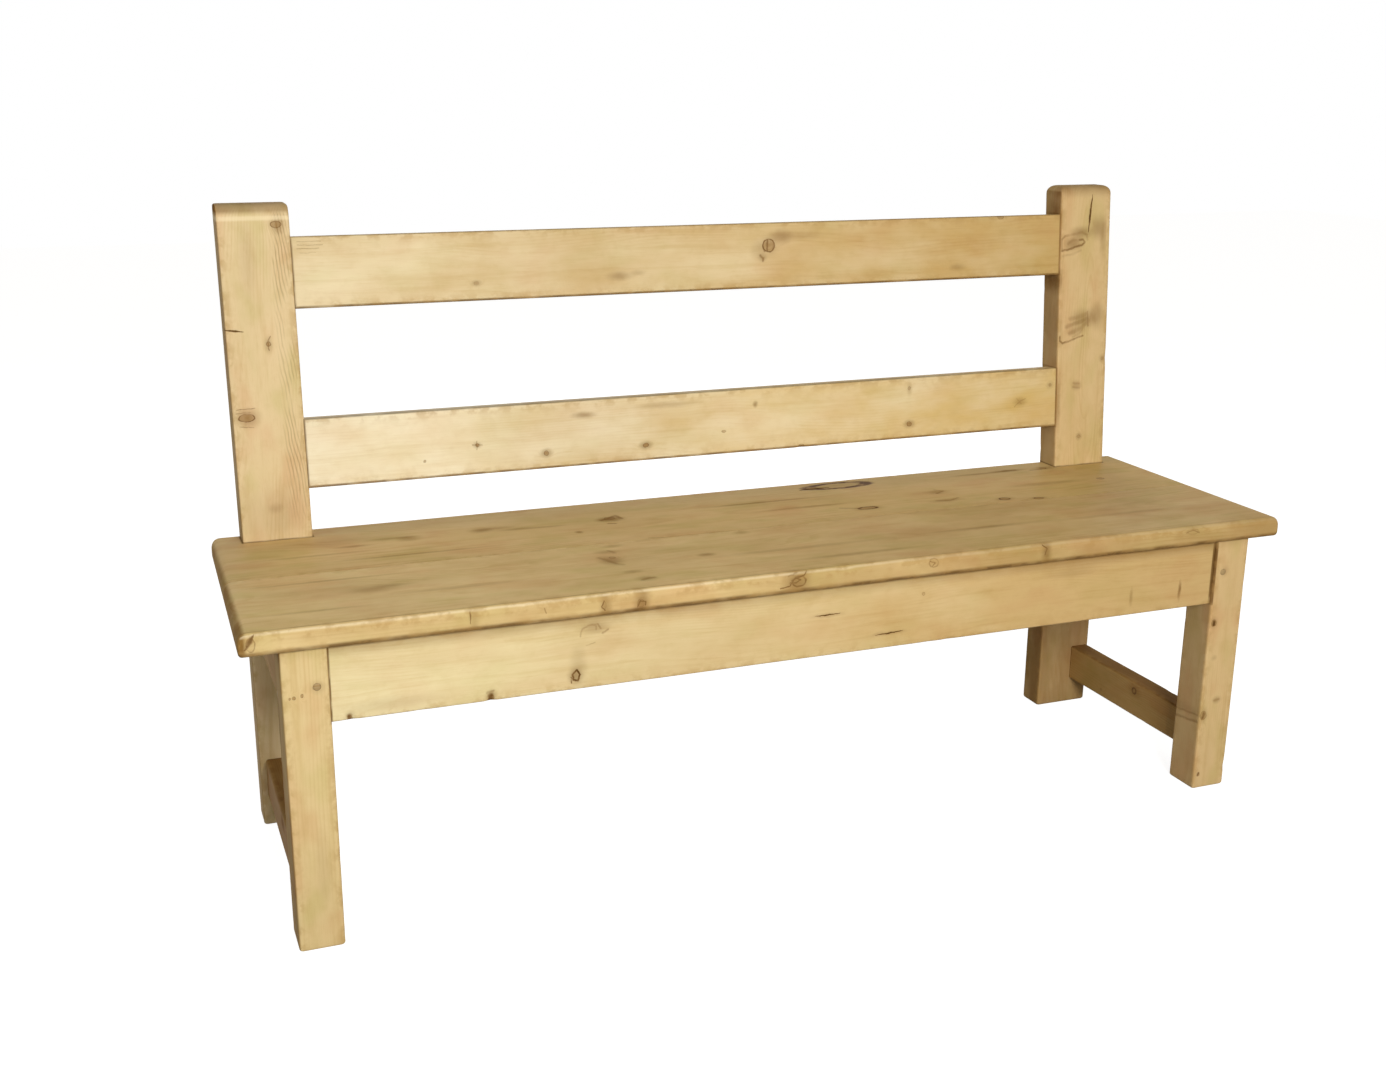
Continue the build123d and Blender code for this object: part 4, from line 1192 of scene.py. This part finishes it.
peg_pine = pine(
    "peg end grain", FLAT, 15.0, (0.44, 0.31, 0.15), (0.32, 0.21, 0.09), (690, -200, 400), 2.5, 0.0, 6, 0.8,
    (0.3, 0.5))
whittled_peg = driven_in("whittled peg", (
    (-0.006, 0.84), (0.004, 0.96), (0.03, 1.0), (0.5, 0.99), (0.9, 1.0), (0.97, 0.9), (1.0, 0.7)), 16)
apron_peg_places = [((side * (inner + peg_inset), y, apron_peg_height), (0, way, 0))
                    for inner, y, way in ((leg_inner, leg_front, 1), (post_inner, post_rear, -1))
                    for side in (-1, 1)]
side_apron_peg_places, stretcher_peg_places = (
    [((side * post_outer, y, height), (-side, 0, 0)) for side in (-1, 1) for y in side_pegs]
    for height in (side_apron_peg_height, stretcher_peg_height))
rail_peg_places = [rail_peg(middle, step, side)
                   for middle in rail_middles for step in (-1, 1) for side in (-1, 1)]
for name, length, places in (
        ("apron_pegs", 32, apron_peg_places), ("side_apron_pegs", 34, side_apron_peg_places),
        ("stretcher_pegs", 31.5, stretcher_peg_places), ("back_rail_pegs", 43.8, rail_peg_places)):
    pegs = fasteners(f"{name}_whittled", whittled_peg, places, Diameter=peg_diameter * 0.001,
                     Length=length * 0.001, Seed=len(places) + int(length), Finish=peg_pine)
    finish_piece(pegs, peg_pine, node=name, crease=40)

# ---------------------------------------------------------------- screws
# Slotted steel wood screws with countersunk heads: the long ones come up through the bearers and corner
# blocks into the seat, and the short ones hold the blocks to the aprons.
screw_head, screw_head_height = 8, 393

screw_steel = bpy.data.materials.new("screw steel")
screw_steel.use_nodes = True
place = add("ShaderNodeTexCoord", tree=screw_steel.node_tree, output="Object") * 1000.0
tarnish = rise(grain_noise(place, (0.5, 0.5, 0.5), 3.0), 0.35, 0.7)
steel = screw_steel.node_tree.nodes["Principled BSDF"].inputs
give(blend(tarnish, (0.42, 0.4, 0.36, 1), (0.16, 0.12, 0.085, 1)), steel["Base Color"])
give(tarnish * 0.35 + 0.32, steel["Roughness"])
give(tarnish * -0.7 + 1.0, steel["Metallic"])

seat_screw_places = []
block_screw_places = []
for side, spot in zip((-1, 1), bearer_spots):
    spots = [(spot + step, y) for step in screw_steps for y in (front_screw_y, rear_screw_y)]
    spots += [(side * x, y) for x, y in (front_block_screw, rear_block_screw)]
    seat_screw_places += [((x, y, screw_head_height), (0, 0, 1)) for x, y in spots]
    block_screw_places += [
        ((side * 646, -180.19, 406), (0, -1, 0)), ((side * 606, 153.81, 406), (0, 1, 0)),
        ((side * 684, -140.19, 406), (side, 0, 0)), ((side * 684, 125.81, 406), (side, 0, 0))]
for name, length, places in (
        ("seat_screws", 45, seat_screw_places), ("block_screws", 36, block_screw_places)):
    slotted_screw = driven_in(f"slotted screw {length}", (
        (-1 / length, 0.9), (-0.8 / length, 1.0), (0.0, 1.0), (2 / length, 0.5), (1 - 6 / length, 0.5),
        (1.0, 0.06)), 20, slotted=True)
    screws = fasteners(f"{name}_slotted", slotted_screw, places, Diameter=screw_head * 0.001,
                       Length=length * 0.001, Seed=length, Finish=screw_steel)
    finish_piece(screws, screw_steel, node=name, crease=30)

# ---------------------------------------------------------------- where it stands
# A plain white room with a window in front and a weaker one behind, and a pale floor that keeps the bench's
# shadow.
camera = bpy.data.objects.new("camera", bpy.data.cameras.new("camera"))
scene.collection.objects.link(camera)
scene.camera = camera
camera.location = (-0.9230, -2.1157, 1.1067)
turned = Matrix.Rotation(radians(-21.237), 3, "Z")
tipped = Matrix.Rotation(radians(90 - 16.489), 3, "X")
rolled = Matrix.Rotation(radians(0.386), 3, "Z")
camera.rotation_euler = (turned @ tipped @ rolled).to_euler()
camera.data.lens = 1578.2 * 36 / 1386

for name, place, wide, energy in (
        ("window", (-0.35, -3.2, 1.65), 1.1, 100), ("far window", (1.2, 3.2, 1.5), 1.6, 34),
        ("side window", (-3.4, -0.4, 1.5), 1.6, 14)):
    window = bpy.data.objects.new(name, bpy.data.lights.new(name, "AREA"))
    scene.collection.objects.link(window)
    window.data.shape = "RECTANGLE"
    window.data.size = wide
    window.data.size_y = 1.0
    window.data.energy = energy
    window.location = place
    window.rotation_euler = (Vector((0.05, 0.1, 0.5)) - window.location).to_track_quat("-Z", "Y").to_euler()
    window.visible_glossy = name == "window"


def seen_white(tree):
    """1 where the eye, a reflection or a clear thing looks straight at the room."""
    rays = {socket.name: Value(socket) for socket in tree.nodes.new("ShaderNodeLightPath").outputs}
    return larger(larger(rays["Is Camera Ray"], rays["Is Glossy Ray"]), rays["Is Transmission Ray"])


room = bpy.data.worlds.new("room")
scene.world = room
room.use_nodes = True
tree = room.node_tree
tree.nodes.clear()
lit = add("ShaderNodeBackground", (1.0, 0.95, 0.86, 1), 0.23, tree=tree)
white = add("ShaderNodeBackground", (1, 1, 1, 1), 1.0, tree=tree)
give(add("ShaderNodeMixShader", seen_white(tree), lit, white),
     tree.nodes.new("ShaderNodeOutputWorld").inputs["Surface"])

ground = bpy.data.meshes.new("floor")
ground.from_pydata([(-9, -9, 0), (9, -9, 0), (9, 9, 0), (-9, 9, 0)], [], [(0, 1, 2, 3)])
floor = bpy.data.objects.new("floor", ground)
scene.collection.objects.link(floor)
floor_paint = bpy.data.materials.new("floor paint")
floor_paint.use_nodes = True
paint = floor_paint.node_tree.nodes["Principled BSDF"].inputs
paint["Base Color"].default_value = (0.42, 0.42, 0.42, 1)
paint["Roughness"].default_value = 1.0
paint["Specular IOR Level"].default_value = 0.0
paint["Emission Color"].default_value = (1, 1, 1, 1)
give(seen_white(floor_paint.node_tree) * 0.9, paint["Emission Strength"])
ground.materials.append(floor_paint)
